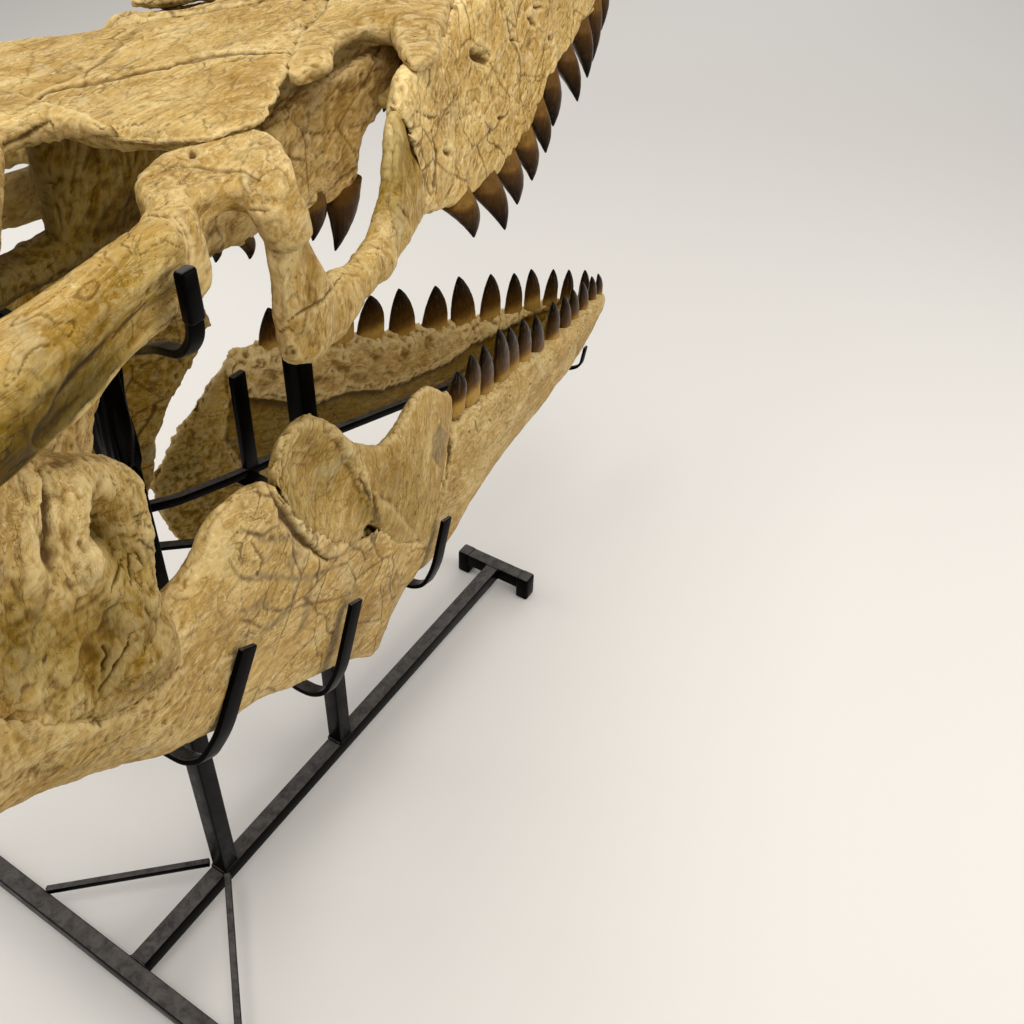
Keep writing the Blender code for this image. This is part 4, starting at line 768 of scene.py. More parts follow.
    def split(self, scale, width, depth, along=None, factor=1.0, seed=0, mask=1.0, fill=0.0, amount=0.010):
        """A network of cracks between cells of a jittered lattice."""
        Q = self.P if along is None else stretched(self.P, along, factor)
        Q = warp(Q, scale * 0.8, amount, self.seed + seed + 77) / scale
        base = np.floor(Q).astype(np.int64)
        f1 = np.full(len(Q), 9.0)
        f2 = np.full(len(Q), 9.0)
        for dx in (-1, 0, 1):
            for dy in (-1, 0, 1):
                for dz in (-1, 0, 1):
                    c = base + (dx, dy, dz)
                    h = _hash(c[:, 0], c[:, 1], c[:, 2], self.seed + seed)
                    j = np.stack((h & 1023, (h >> 10) & 1023, (h >> 20) & 1023), 1) / 1023.0
                    d = np.linalg.norm(c + j - Q, axis=1)
                    f2 = np.minimum(f2, np.maximum(f1, d))
                    f1 = np.minimum(f1, d)
        e = (f2 - f1) * scale * 0.5
        g = (1 - smooth(0.3, 1.0, e / width)) * mask
        self.move(-depth * g)
        if fill:
            self.fill = np.maximum(self.fill, fill * g)
        else:
            self.crack_and_pit_shade = np.maximum(self.crack_and_pit_shade, 0.8 * g)
        return g

    def flakes(self, scale, step, levels, seed, along=None, factor=1.0, mask=1.0):
        """Broken layers of the outer bone: steps between patches of even height, with crisp edges."""
        Q = self.P if along is None else stretched(self.P, along, factor)
        q = fbm(warp(Q, scale, scale * 0.25, self.seed + seed), scale, 3, self.seed + seed + 1) * levels
        f = q - np.floor(q)
        self.move((np.floor(q) + smooth(0.0, 0.14, f)) * step * mask)
        edge = np.exp(-((f - 0.05) / 0.06) ** 2) * mask
        self.crack_and_pit_shade = np.maximum(self.crack_and_pit_shade, 0.30 * edge)

    def veins(self, scale, width, depth, seed, along=None, factor=1.0, mask=1.0, dark=0.7):
        """Hairline cracks along the zero lines of a noise, here and there."""
        Q = self.P if along is None else stretched(self.P, along, factor)
        v = np.abs(fbm(Q, scale, 3, self.seed + seed)) * scale
        here = smooth(0.02, 0.25, noise(self.P, scale * 1.7, self.seed + seed + 9)) * mask
        g = (1 - smooth(0.2, 1.0, v / width)) * here
        self.move(-depth * g)
        self.crack_and_pit_shade = np.maximum(self.crack_and_pit_shade, dark * g)

    def shade(self, lines, width, amount):
        """Paints shade (a negative amount) and light (a positive amount) into the bone along lines given in the frame.
        """
        px = self.pixel_noise(0.012, 1.5, self.seed + 930)
        for line in lines:
            self.tone = self.tone + amount * np.exp(-(self.line_distance(line, px) / width) ** 2) * self.seen

    def chips(self, amount, mask=1.0):
        """Bites out of the thin edges, where the skin stands well out from its smoothed self."""
        self.refresh()
        broad = relax(self.P, self.E, 45)
        out = np.einsum("ij,ij->i", self.P - broad, self.N)
        edge = smooth(0.0010, 0.0026, out) * mask
        bite = np.maximum(0.0, fbm(self.P, 0.018, 2, self.seed + 61) + 0.15) + 0.9 * np.maximum(0.0, fbm(self.P, 0.0075, 2, self.seed + 62))
        self.move(-amount * edge * bite)
        self.P = relax(self.P, self.E, 1)

    def common(self, grain, rough=1.0, pore=1.0, chip=1.0):
        """What every bone has: uneven form, broken layers, wrinkles and grain along the bone, hairlines and a few pores."""
        self.refresh()
        self.rough(0.070, 0.0022 * rough, 2, 1)
        self.rough(0.026, 0.0009 * rough, 3, 2)
        self.chips(0.0105 * chip)
        self.refresh()
        self.flakes(0.050, 0.0008 * rough, 3.0, 11, grain, 0.6)
        self.flakes(0.024, 0.0004 * rough, 2.5, 14, grain, 0.5)
        self.refresh()
        self.rough(0.0130, 0.00026 * rough, 2, 3, grain, 0.22, ridges=True, warped=0.005)
        self.rough(0.0060, 0.00012 * rough, 2, 4, grain, 0.30, ridges=True, warped=0.003)
        self.veins(0.050, 0.0007, 0.0005, 40, grain, 0.4, dark=0.55)
        # a few pores, darkened with painted shade
        if pore:
            self.pores(0.0085, 0.0007 * pore, 0.80, 5)

    def done(self, slot="bone"):
        set_coords(self.me, self.P)
        self.N = vertex_normals(self.me)
        fine = relax(self.P, self.E, 4)
        broad = relax(fine, self.E, 24)
        # undersides are darkened: painted shade under the bone
        self.tone = self.tone - 0.34 * smooth(0.05, -0.85, self.N[:, 2])
        # fine and broad hollowness of the skin, which the material turns into painted shade in hollows and painted
        # highlight on ridges
        hollow = np.einsum("ij,ij->i", fine - self.P, self.N) / 0.00030
        broad_shade_and_highlight = np.einsum("ij,ij->i", broad - self.P, self.N) / 0.0016
        for key, value in (("fine_shade_and_highlight", np.clip(hollow, -1, 1)), ("broad_shade_and_highlight", np.clip(broad_shade_and_highlight, -1, 1)), ("crack_and_pit_shade", np.clip(self.crack_and_pit_shade, 0, 1)),
                           ("fill", np.clip(self.fill, 0, 1)), ("tone", np.clip(self.tone, -1, 1))):
            a = self.me.attributes.new(key, "FLOAT", "POINT")
            a.data.foreach_set("value", value.astype(np.float32))
        lo, hi = np.array(cad_box[0]) - SHIFT, np.array(cad_box[1]) - SHIFT
        set_coords(self.me, np.clip(self.P, lo + 0.0002, hi - 0.0002) + SHIFT)
        self.me.shade_smooth()
        SCRATCH.objects.unlink(self.ob)
        SHOWN.objects.link(self.ob)


ALONG_JAW = {"_R": (0.93, 0.19, -0.31), "_L": (0.93, -0.19, -0.31)}
GRAIN = {"frontal": (1, 0.12, 0), "parietal": (1, 0, 0), "premaxilla": (1, 0, 0), "vomer": (1, 0, 0), "braincase": (0.4, 0, 1)}
for tag in ("_R", "_L"):
    s = -1 if tag == "_R" else 1
    GRAIN.update({"maxilla" + tag: (0.9, 0.1 * s, 0.45), "prefrontal" + tag: (1, 0.4 * s, 0), "postorbitofrontal" + tag: (1, -0.5 * s, 0.1),
                  "squamosal" + tag: (1, -0.2 * s, 0.06), "jugal" + tag: (0.2, 0, 1), "quadrate" + tag: (0.1, 0, 1),
                  "pterygoid" + tag: (1, 0, 0.35), "palatine" + tag: (1, 0, 0), "dentary" + tag: ALONG_JAW[tag],
                  "surangular_angular" + tag: ALONG_JAW[tag], "coronoid" + tag: (0.35, 0, 1)})
ROUGH = {"quadrate": 1.6, "braincase": 1.2, "maxilla": 1.25, "jugal": 1.1, "dentary": 0.7, "squamosal": 0.75, "surangular_angular": 0.8,
         "coronoid": 0.8, "pterygoid": 0.8, "frontal": 0.85, "parietal": 0.9}


CHIP = {"prefrontal_R": 0.45, "frontal": 0.8, "premaxilla": 0.5, "quadrate_R": 0.7, "dentary_L": 1.3, "coronoid_R": 0.8}


def socket_swells(c, side, rows, up, height=0.0035):
    """The jaw's edge rises round the root of each tooth and dips between them."""
    for xb, wb, zb, xt, wt, zt, a, b in rows:
        q = c.P - np.array((xb, side * wb, zb + up))
        d = np.sqrt((q[:, 0] / a) ** 2 + (q[:, 1] / (b + 0.012)) ** 2 + (q[:, 2] / 0.020) ** 2)
        c.move(height * np.exp(-d ** 2))


def carve_frontal(c):
    half = np.interp(c.P[:, 0], [r[0] for r in FRONTAL], [r[3] for r in FRONTAL])
    t = np.minimum(half - np.abs(c.P[:, 1]), (c.P[:, 0] - 0.152) * 1.2)
    near_rim = smooth(0.024, 0.004, t)
    bite = 0.008 * np.maximum(0, fbm(c.P, 0.022, 2, 71) + 0.25) + 0.005 * np.maximum(0, fbm(c.P, 0.009, 2, 72))
    c.P[:, 1] -= np.sign(c.P[:, 1]) * bite * near_rim * smooth(0.16, 0.20, c.P[:, 0])
    c.P[:, 0] += bite * near_rim * smooth(0.21, 0.17, c.P[:, 0])
    floor_z = ROOF_Z + 0.009 - 0.0065 - 0.014 * smooth(0.0, 0.030, t)
    low = c.P[:, 2] < floor_z
    c.P[low, 2] = floor_z[low] - 0.12 * (floor_z[low] - c.P[low, 2])
    c.refresh()
    rim = smooth(0.80, 0.35, np.abs(c.N[:, 2]))
    c.rough(0.012, 0.0016, 3, 21, mask=rim)
    c.refresh()
    c.groove([[(8, 118), (20, 112), (47, 94), (74, 87), (94, 84), (125, 77), (152, 72), (178, 66), (212, 57), (257, 53), (290, 53), (299, 58)]],
             0.0030, 0.0022, wobble=2.5, lip=0.0008)
    c.groove([[(84, 88), (86, 74), (96, 65), (116, 47), (134, 33), (143, 20), (156, 4), (160, -8)]], 0.0042, 0.0020, fill=0.8, wobble=3)
    c.groove([[(20, 92), (33, 62), (36, 42), (52, 38)], [(20, 92), (27, 100)], [(65, 60), (78, 68), (90, 79)]], 0.0013, 0.0008, wobble=4)
    c.plate([(96, 88), (175, 68), (255, 55), (296, 58), (282, 84), (276, 110), (262, 126), (226, 140), (186, 148), (150, 142), (110, 128), (60, 124), (30, 122)],
            0.0016, 0.006, wobble=3)


def carve_parietal(c):
    c.refresh()
    c.rough(0.014, 0.0022, 3, 20)
    c.groove([[(-10, 150), (24, 136), (50, 120), (54, 128)]], 0.003, 0.002, wobble=3)


def carve_prefrontal_R(c):
    c.refresh()
    rim = smooth(0.85, 0.5, np.abs(c.N[:, 2]))
    c.rough(0.022, 0.0030, 2, 20, mask=rim)
    c.rough(0.020, 0.0016, 2, 22)


def carve_postorbitofrontal_R(c):
    c.refresh()
    c.rough(0.020, 0.0022, 2, 20)
    c.refresh()
    # the first two pits are darkened a little and the third fully: painted shade in the hollows
    c.pit((190, 214), 0.010, 0.0018, dark=0.1)
    c.pit((192, 228), 0.006, 0.0012, dark=0.1)
    c.pit((192, 154), 0.004, 0.005)
    c.pit((262, 190), 0.012, 0.0022, dark=0.0, squeeze=(1.8, 30))
    c.groove([[(150, 176), (176, 166), (206, 168), (240, 172), (262, 180)]], 0.0012, 0.0010, wobble=4)


def carve_squamosal_R(c):
    c.refresh()
    c.groove([[(204, 262), (176, 266), (158, 276), (150, 290)]], 0.0012, 0.0007, wobble=1.5)
    c.groove([[(196, 276), (140, 330), (92, 380), (40, 442)]], 0.018, 0.0050, fill=0.02, wobble=2)
    c.groove([[(170, 262), (120, 306), (64, 362), (20, 414)]], 0.012, -0.0020, fill=0.02, wobble=2)
    c.groove([[(120, 330), (90, 362), (58, 402)], [(150, 300), (118, 338)]], 0.0020, 0.0010, wobble=1)
    # painted shade along the arch, darkest in the band of shadow under it
    c.shade([[(176, 262), (150, 262), (128, 282)]], 0.024, -0.28)
    c.shade([[(86, 330), (52, 362)]], 0.024, -0.16)
    c.shade([[(6, 462), (40, 440), (78, 412), (112, 384)]], 0.024, -0.85)


def carve_jugal_R(c):
    c.refresh()
    c.rough(0.020, 0.0022, 2, 20)
    c.groove([[(288, 320), (300, 311), (312, 306), (322, 298), (333, 287), (340, 276)], [(398, 205), (404, 212), (411, 222)]], 0.0018, 0.0014, wobble=3)
    c.plate([(352, 205), (372, 198), (388, 214), (372, 232), (356, 226)], 0.0012, 0.004)
    # painted shade over the shadowed front blade
    c.shade([[(412, 90), (410, 130), (400, 170), (386, 204)]], 0.016, -0.42)
    c.plate([(418, 92), (408, 100), (402, 150), (392, 196), (404, 200), (420, 160)], -0.0020, 0.006, wobble=3)
    # a small pit, darkened with painted shade
    c.pit((292, 352), 0.004, 0.0014, rim=0.0006)


def carve_quadrate_R(c):
    c.refresh()
    c.rough(0.045, 0.0060, 2, 20)
    c.refresh()
    c.rough(0.018, 0.0028, 2, 21, warped=0.010)
    c.pit((104, 640), 0.034, 0.0050, dark=0.0, squeeze=(1.5, 40))
    # the big pit is darkened with painted shade, and painted shade and painted light lie along the lines after it
    c.pit((114, 534), 0.017, 0.024, rim=0.0040, squeeze=(2.0, 70), dark=0.75)
    c.shade([[(108, 516), (116, 540), (122, 560)]], 0.016, -0.45)
    c.shade([[(0, 640), (40, 660), (90, 672), (130, 660)]], 0.026, -0.35)
    c.shade([[(20, 616), (60, 622), (110, 604), (140, 600)]], 0.022, -0.25)
    c.shade([[(20, 500), (50, 530), (60, 560)]], 0.030, 0.35)
    c.refresh()
    c.rough(0.0090, 0.0009, 2, 22, ridges=True, warped=0.006)
    # a narrow pit, darkened with painted shade
    c.pit((48, 556), 0.007, 0.006, squeeze=(2.6, 80))
    c.plate([(96, 476), (112, 484), (110, 520), (104, 566), (84, 570), (70, 520), (80, 482)], 0.0030, 0.008)
    c.plate([(92, 640), (120, 618), (152, 620), (172, 640), (174, 656), (150, 672), (104, 688)], 0.0050, 0.008, crack_and_pit_shade=0.2)
    for k in range(7):
        t = 0.45 * k - 0.6
        a, b = 14 + 3 * (k % 2), 34 + 7 * (k % 3)
        c.groove([[(122 + a * math.cos(t), 528 + 1.6 * a * math.sin(t)), (122 + b * math.cos(t + 0.2), 528 + 1.4 * b * math.sin(t + 0.2))]], 0.0022, 0.0022, wobble=2)
    c.groove([[(126, 620), (124, 640), (112, 660), (97, 690)], [(96, 640), (104, 652), (98, 672)], [(40, 470), (46, 500), (50, 548)],
              [(140, 600), (150, 620), (146, 640)]], 0.0022, 0.0040, wobble=3)


def carve_maxilla(c, side):
    c.refresh()
    c.rough(0.022, 0.0022, 2, 20)
    socket_swells(c, side, UPPER_CROWNS, 0.014)
    c.refresh()
    if side < 0:
        # faces toward the camera are lightened: painted light
        c.tone += 0.36 * c.seen
        c.split(0.090, 0.0010, 0.0005, seed=12)
        # the pits are darkened: painted shade in the hollows
        for p, r, k in (((481, 57), 0.0085, 42), ((513, 40), 0.0042, 30), ((531, 21), 0.0052, 60), ((537, 7), 0.0040, 0), ((550, 38), 0.0036, 70),
                        ((447, 152), 0.0042, 40), ((500, 118), 0.0032, 0)):
            c.pit(p, r, r * 1.5, squeeze=(1.6, k), rim=0.0006)
        c.pit((448, 112), 0.022, 0.0045, dark=0.12, squeeze=(1.8, 70))
        c.rough(0.008, 0.0022, 3, 24, ridges=True, mask=np.exp(-(np.hypot(*(c.px - (440, 105)).T) / 26) ** 2))
        c.groove([[(424, 60), (430, 80), (424, 96)], [(412, 110), (430, 118), (452, 112)], [(486, 139), (500, 150), (504, 162)],
                  [(480, 122), (492, 128), (486, 139)], [(430, 196), (424, 170), (432, 160)], [(434, 200), (436, 150), (430, 130)]],
                 0.0020, 0.0014, wobble=4)
    else:
        c.split(0.070, 0.0010, 0.0006, seed=12)


def carve_dentary(c, side):
    c.refresh()
    socket_swells(c, side, LOWER_CROWNS_R if side < 0 else LOWER_CROWNS_L, -0.012, 0.0035 if side < 0 else 0.0060)
    c.refresh()
    if side < 0:
        c.plate([(440, 424), (452, 440), (450, 462), (440, 468), (431, 456), (434, 436)], -0.0022, 0.0018, wobble=1, fill=1.0)
        c.groove([[(437, 465), (434, 490), (432, 520)], [(474, 420), (478, 434)], [(534, 370), (540, 392), (536, 408)]],
                 0.0018, 0.0010, wobble=2)
        # the pits are darkened: painted shade in the hollows
        for k in range(6):
            c.pit((470 + 20 * k, 432 - 18 * k + (6 if k % 2 else 0)), 0.0024, 0.0026)
    else:
        lower = [(230, 398), (250, 399), (288, 403), (316, 403), (344, 393), (382, 390), (401, 383), (429, 371), (451, 361), (470, 346), (520, 322), (560, 300)]
        shelf = lower + [(590, 270), (500, 300), (430, 318), (360, 325), (300, 330), (228, 350)]
        # the shelf is lightened, painted light on its lit top, and the pits in it are darkened a little, painted shade
        c.plate(shelf, 0.0075, 0.0035, wobble=4, crack_and_pit_shade=0.25, tone=0.42)
        c.refresh()
        c.rough(0.026, 0.0034, 2, 30, mask=c.inside(shelf, c.px) * 1.0)
        for k, (x, y) in enumerate(((300, 352), (340, 366), (372, 350), (405, 352), (430, 340), (268, 380), (318, 380), (360, 378))):
            c.pit((x, y), 0.010 + 0.003 * (k % 3), 0.0028, dark=0.25, squeeze=(1.7, 25 * k))
        c.refresh()
        # the recess under the shelf and the small pit after it are darkened: painted shade
        recess = lower[::-1] + [(226, 440), (246, 470), (300, 452), (360, 428), (420, 402), (480, 366), (560, 312)]
        c.plate(recess, -0.0050, 0.0045, wobble=3, tone=-0.42)
        c.pit((250, 364), 0.016, -0.0050, dark=0.0, squeeze=(1.5, 0))
        c.pit((258, 362), 0.006, 0.004, dark=0.5, squeeze=(1.5, 20))
        c.refresh()
        near_back = smooth(0.47, 0.38, c.P[:, 0])
        c.rough(0.018, 0.0050, 2, 31, mask=near_back)
        c.flakes(0.026, 0.0016, 3.0, 32, mask=near_back)
        # darker towards the back: painted shade
        c.tone -= 0.25 * near_back


def carve_surangular(c, side):
    c.refresh()
    if side < 0:
        fillers = [[(228, 560), (238, 576), (248, 580), (258, 576), (281, 577), (297, 579), (313, 576), (330, 568), (346, 562)],
                   [(301, 537), (297, 551), (291, 564), (291, 576)], [(297, 579), (293, 600), (283, 613), (264, 629), (252, 649)],
                   [(311, 582), (307, 604), (305, 621), (293, 640)], [(354, 574), (358, 594), (346, 606), (352, 590)],
                   [(240, 528), (266, 540), (301, 537)], [(283, 613), (262, 604), (240, 612)]]
        # faces toward the camera are lightened: painted light
        c.tone += 0.20 * c.seen
        c.groove(fillers, 0.0046, 0.0003, fill=1.0, wobble=2.4)
        c.groove([[(272, 492), (284, 512), (296, 531), (309, 546), (326, 560)]], 0.0060, 0.0060, wobble=2)
        c.groove([[(236, 532), (264, 535), (281, 523), (290, 512)], [(250, 540), (262, 560), (258, 576)],
                  [(264, 629), (250, 622), (240, 620)], [(346, 562), (356, 580), (380, 560), (396, 552)],
                  [(283, 613), (300, 606), (330, 600), (356, 592)]], 0.0013, 0.0009, wobble=1.5)
        c.plate([(322, 557), (330, 544), (352, 528), (360, 536), (352, 546), (334, 556)], 0.0022, 0.0022, crack_and_pit_shade=0.5)
        c.plate([(400, 580), (392, 604), (380, 640), (384, 656), (360, 668), (340, 664), (356, 640), (372, 600)], 0.0040, 0.006, crack_and_pit_shade=0.4)
        c.groove([[(398, 578), (392, 598), (384, 622), (380, 640)]], 0.003, 0.003, wobble=4)
        c.rough(0.010, 0.0014, 3, 41, ridges=True, mask=smooth(230, 170, c.px[:, 0]))
        c.split(0.060, 0.0010, 0.0006, seed=44, mask=smooth(230, 260, c.px[:, 0]))
        # painted shade along the lower rear edge
        c.shade([[(0, 736), (60, 748), (110, 738)]], 0.030, -0.30)
        c.groove([[(104, 700), (120, 690), (150, 684), (180, 668)], [(96, 700), (100, 726)]], 0.003, 0.003, wobble=3)
    else:
        edge = smooth(0.30, 0.40, c.P[:, 0])
        c.rough(0.016, 0.004, 3, 31, mask=edge)
        c.split(0.070, 0.0011, 0.0007, seed=44)
        c.rough(0.012, 0.0016, 3, 33)


def carve_coronoid_R(c):
    c.refresh()
    c.pit((318, 486), 0.044, 0.0160, dark=0.0, squeeze=(1.35, 62))
    c.refresh()
    rim = [(296, 430), (283, 442), (277, 462), (280, 490), (288, 512)]
    c.groove([rim], 0.0090, -0.0045, fill=0.01, wobble=1)
    # painted shade at the bowl's lower edge, below the saddle and over the front spike
    c.shade([[(300, 520), (312, 500), (322, 470), (318, 450)]], 0.022, -0.20)
    c.shade([[(360, 500), (372, 520), (376, 540)]], 0.010, -0.40)
    c.shade([[(400, 470), (410, 500)]], 0.030, -0.25)
    c.groove([[(325, 427), (346, 446), (358, 471), (364, 490), (370, 504)]], 0.0085, -0.0055, wobble=2, fill=0.01)
    c.refresh()
    c.rough(0.010, 0.0018, 2, 23, mask=np.exp(-(c.line_distance([(325, 427), (346, 446), (358, 471), (370, 504)], c.px) / 0.010) ** 2))
    c.groove([[(276, 492), (284, 508), (293, 527), (305, 541), (321, 556)]], 0.0062, 0.0080, wobble=2)
    # painted shade in the crevice under the rim
    c.shade([[(276, 488), (286, 516), (300, 540), (322, 560)]], 0.010, -0.55)
    c.groove([[(360, 480), (374, 500), (374, 515), (378, 540)]], 0.0040, 0.0045, wobble=2)
    # a narrow pit, darkened with painted shade
    c.pit((372, 533), 0.0085, 0.013, squeeze=(1.2, 40))
    c.plate([(376, 498), (392, 505), (420, 545), (402, 549), (376, 541), (372, 520)], 0.0040, 0.004)
    c.rough(0.012, 0.0030, 2, 24, mask=np.exp(-(np.hypot(*(c.px - (404, 398)).T) / 20) ** 2))
    c.plate([(440, 424), (452, 440), (450, 462), (440, 468), (431, 456), (434, 436)], -0.0012, 0.0016, wobble=2, fill=1.0)


def carve_pterygoid(c, side):
    c.refresh()
    c.rough(0.030, 0.0030, 2, 20)
    c.pit((352, 110), 0.040, 0.0060, dark=0.0, squeeze=(1.7, -30))
    socket_swells(c, side, PTERYGOID_CROWNS, 0.004, 0.0050)
    if side < 0:
        c.rough(0.0085, 0.0014, 3, 27, warped=0.008)
        c.rough(0.0190, 0.0020, 2, 26)
        c.split(0.085, 0.0010, 0.0004, seed=28)
        # the front of the wall toward the camera is lightened, painted light, and a painted shadow lies under the rim
        # above it
        c.tone += 1.00 * c.seen * smooth(0.28, 0.34, c.P[:, 0])
        c.shade([[(258, 132), (274, 108), (284, 88), (310, 70), (330, 54), (352, 44), (384, 40), (402, 56)]], 0.016, -0.95)
    edge = smooth(0.49, 0.54, c.P[:, 0])
    c.rough(0.010, 0.003, 3, 22, mask=edge)


for name, ob in BONES.items():
    seed = 11 + 37 * sorted(SHAPES).index(name)
    if name.endswith("_L"):
        seed += 5
    c = Clay(ob, seed)
    stem, tag = (name[:-2], name[-2:]) if name[-2:] in ("_R", "_L") else (name, "")
    side = {"_R": -1, "_L": 1, "": 0}[tag]
    if name == "frontal":
        carve_frontal(c)
    elif name == "parietal":
        carve_parietal(c)
    elif name == "prefrontal_R":
        carve_prefrontal_R(c)
    elif name == "postorbitofrontal_R":
        carve_postorbitofrontal_R(c)
    elif name == "squamosal_R":
        carve_squamosal_R(c)
    elif name == "jugal_R":
        carve_jugal_R(c)
    elif name == "quadrate_R":
        carve_quadrate_R(c)
    elif stem == "maxilla":
        carve_maxilla(c, side)
    elif stem == "dentary":
        carve_dentary(c, side)
    elif stem == "surangular_angular":
        carve_surangular(c, side)
    elif name == "coronoid_R":
        carve_coronoid_R(c)
    elif stem == "pterygoid":
        carve_pterygoid(c, side)
    elif tag == "_L":
        c.refresh()
        c.rough(0.020, 0.0025, 3, 20)
        c.split(0.070, 0.0011, 0.0007, seed=3)
    elif stem == "braincase":
        c.refresh()
        c.rough(0.014, 0.0035, 3, 20)
    if tag:
        c.refresh()
        # faces toward the mid plane are darkened: painted shade inside the skull
        inward = smooth(0.1, 0.7, -side * c.N[:, 1])
        c.tone -= (0.42 if stem in ("surangular_angular", "coronoid", "quadrate", "squamosal") else 0.22) * inward
    # the braincase, vomer and palatines are darkened: painted shade inside the skull
    if stem in ("braincase", "vomer", "palatine"):
        c.tone -= 0.62 if stem == "braincase" else 0.3
    c.common(GRAIN[name], ROUGH.get(stem, 1.0), chip=CHIP.get(name, 1.0))
    c.done()
    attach(ob, "root")
    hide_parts(name)
print("CARVED", round(time.perf_counter() - T0, 1))


# ------------------------------------------------------------------ teeth
def tooth_rows():
    """{node: [(row, side, plump, slope of the row, bow)]} for every tooth-bearing bone."""
    rows = {"premaxilla": [(r, s, UPPER_PLUMP, -0.20, 0.004) for s in (-1, 1) for r in FRONT_CROWNS]}
    for side, tag in ((-1, "_R"), (1, "_L")):
        rows["dentary" + tag] = [(r, side, LOWER_PLUMP, JAW_SLOPE, 0.003) for r in (LOWER_CROWNS_R if side < 0 else LOWER_CROWNS_L)]
        rows["maxilla" + tag] = [(r, side, UPPER_PLUMP, JAW_SLOPE, 0.005) for r in UPPER_CROWNS]
        rows["pterygoid" + tag] = [(r, side, UPPER_PLUMP, 0.0, 0.004) for r in PTERYGOID_CROWNS]
    return rows


def tooth(row, side, plump, slope, bow, seed, n=40, stations=44):
    """Recurved crown, oval in section with a cutting edge fore and aft and faint facets between."""
    xb, wb, zb, xt, wt, zt, a, b = row
    base, tip = np.array((xb, side * wb, zb)), np.array((xt, side * wt, zt))
    lay = np.array((1, side * slope, 0.0))
    lay /= np.linalg.norm(lay)
    out = np.array((-lay[1], lay[0], 0.0))
    length = np.linalg.norm(tip - base)
    axis = (tip - base) / length
    rings, h, edge = [], [], []
    ang = 2 * math.pi * np.arange(n) / n
    keel = np.abs(np.cos(ang)) ** 10
    for i in range(stations):
        s = -0.014 / length + (1 + 0.014 / length) * (1 - (1 - i / (stations - 1)) ** 1.25)
        u = max(s, 0.0)
        centre = base + (tip - base) * s + np.array((1.0, side * 0.25, 0)) * bow * 4 * u * (1 - u)
        r = (1.04 - 0.04 * min(1.0, u * 6)) * (1 - u ** plump[0]) ** plump[1]
        lobes = 1 + 0.014 * np.cos(7 * ang + seed) * smooth(0.05, 0.3, u) * (1 - u)
        k = 1 + 0.07 * keel * min(1.0, 3 * u) * (1 - u)
        rings.append(centre + (np.cos(ang) * k * lobes * (a * r + 0.0009))[:, None] * lay + (np.sin(ang) * lobes * (b * r + 0.0009))[:, None] * out)
        h.append(np.full(n, u))
        edge.append(keel)
    V, F = skin(np.array(rings))
    h = np.concatenate(h + [np.zeros(1), np.ones(1)])
    edge = np.concatenate(edge + [np.zeros(2)])
    V = V + 0.0003 * np.stack([noise(V, 0.009, seed + k) for k in (1, 2, 3)], 1) * (h < 0.97)[:, None]
    if plump is UPPER_PLUMP:
        h = 0.17 + 0.83 * h      # upper crowns are stained right up to the gum
    return V, F, h, edge


TEETH = {}
for k, (name, row) in enumerate(sorted(tooth_rows().items())):
    parts, hs, edges, which = [], [], [], []
    for i, args in enumerate(row):
        V, F, h, e = tooth(*args, 13 * i + 101 * k)
        parts.append((V, F))
        hs.append(h)
        edges.append(e)
        which.append(np.full(len(V), (_hash(i + 3, k + 5, 7, 11) & 1023) / 1023))
    V, F = merged(parts)
    lo, hi = np.array(cad_box[0]), np.array(cad_box[1])
    ob = new_object(name + "_teeth", np.clip(V + SHIFT, lo + 0.0002, hi - 0.0002), F, SHOWN)
    for key, value in (("height", np.concatenate(hs)), ("keel", np.concatenate(edges)), ("which", np.concatenate(which))):
        ob.data.attributes.new(key, "FLOAT", "POINT").data.foreach_set("value", value.astype(np.float32))
    ob.data.shade_smooth()
    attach(ob, "root")
    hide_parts(name)
    TEETH[name] = ob


# ------------------------------------------------------------------ stand
def rounded(points, radius, pieces=6):
    """The path with its corners turned into arcs."""
    P = [np.array(p, float) for p in points]
    out = [P[0]]
    for a, b, c in zip(P[:-2], P[1:-1], P[2:]):
        u, v = a - b, c - b
        lu, lv = np.linalg.norm(u), np.linalg.norm(v)
        u, v = u / lu, v / lv
        cut_back = min(radius, lu * 0.45, lv * 0.45)
        for k in range(pieces + 1):
            s = k / pieces
            out.append(b + u * cut_back * (1 - s) ** 2 + v * cut_back * s ** 2)
    out.append(P[-1])
    return out


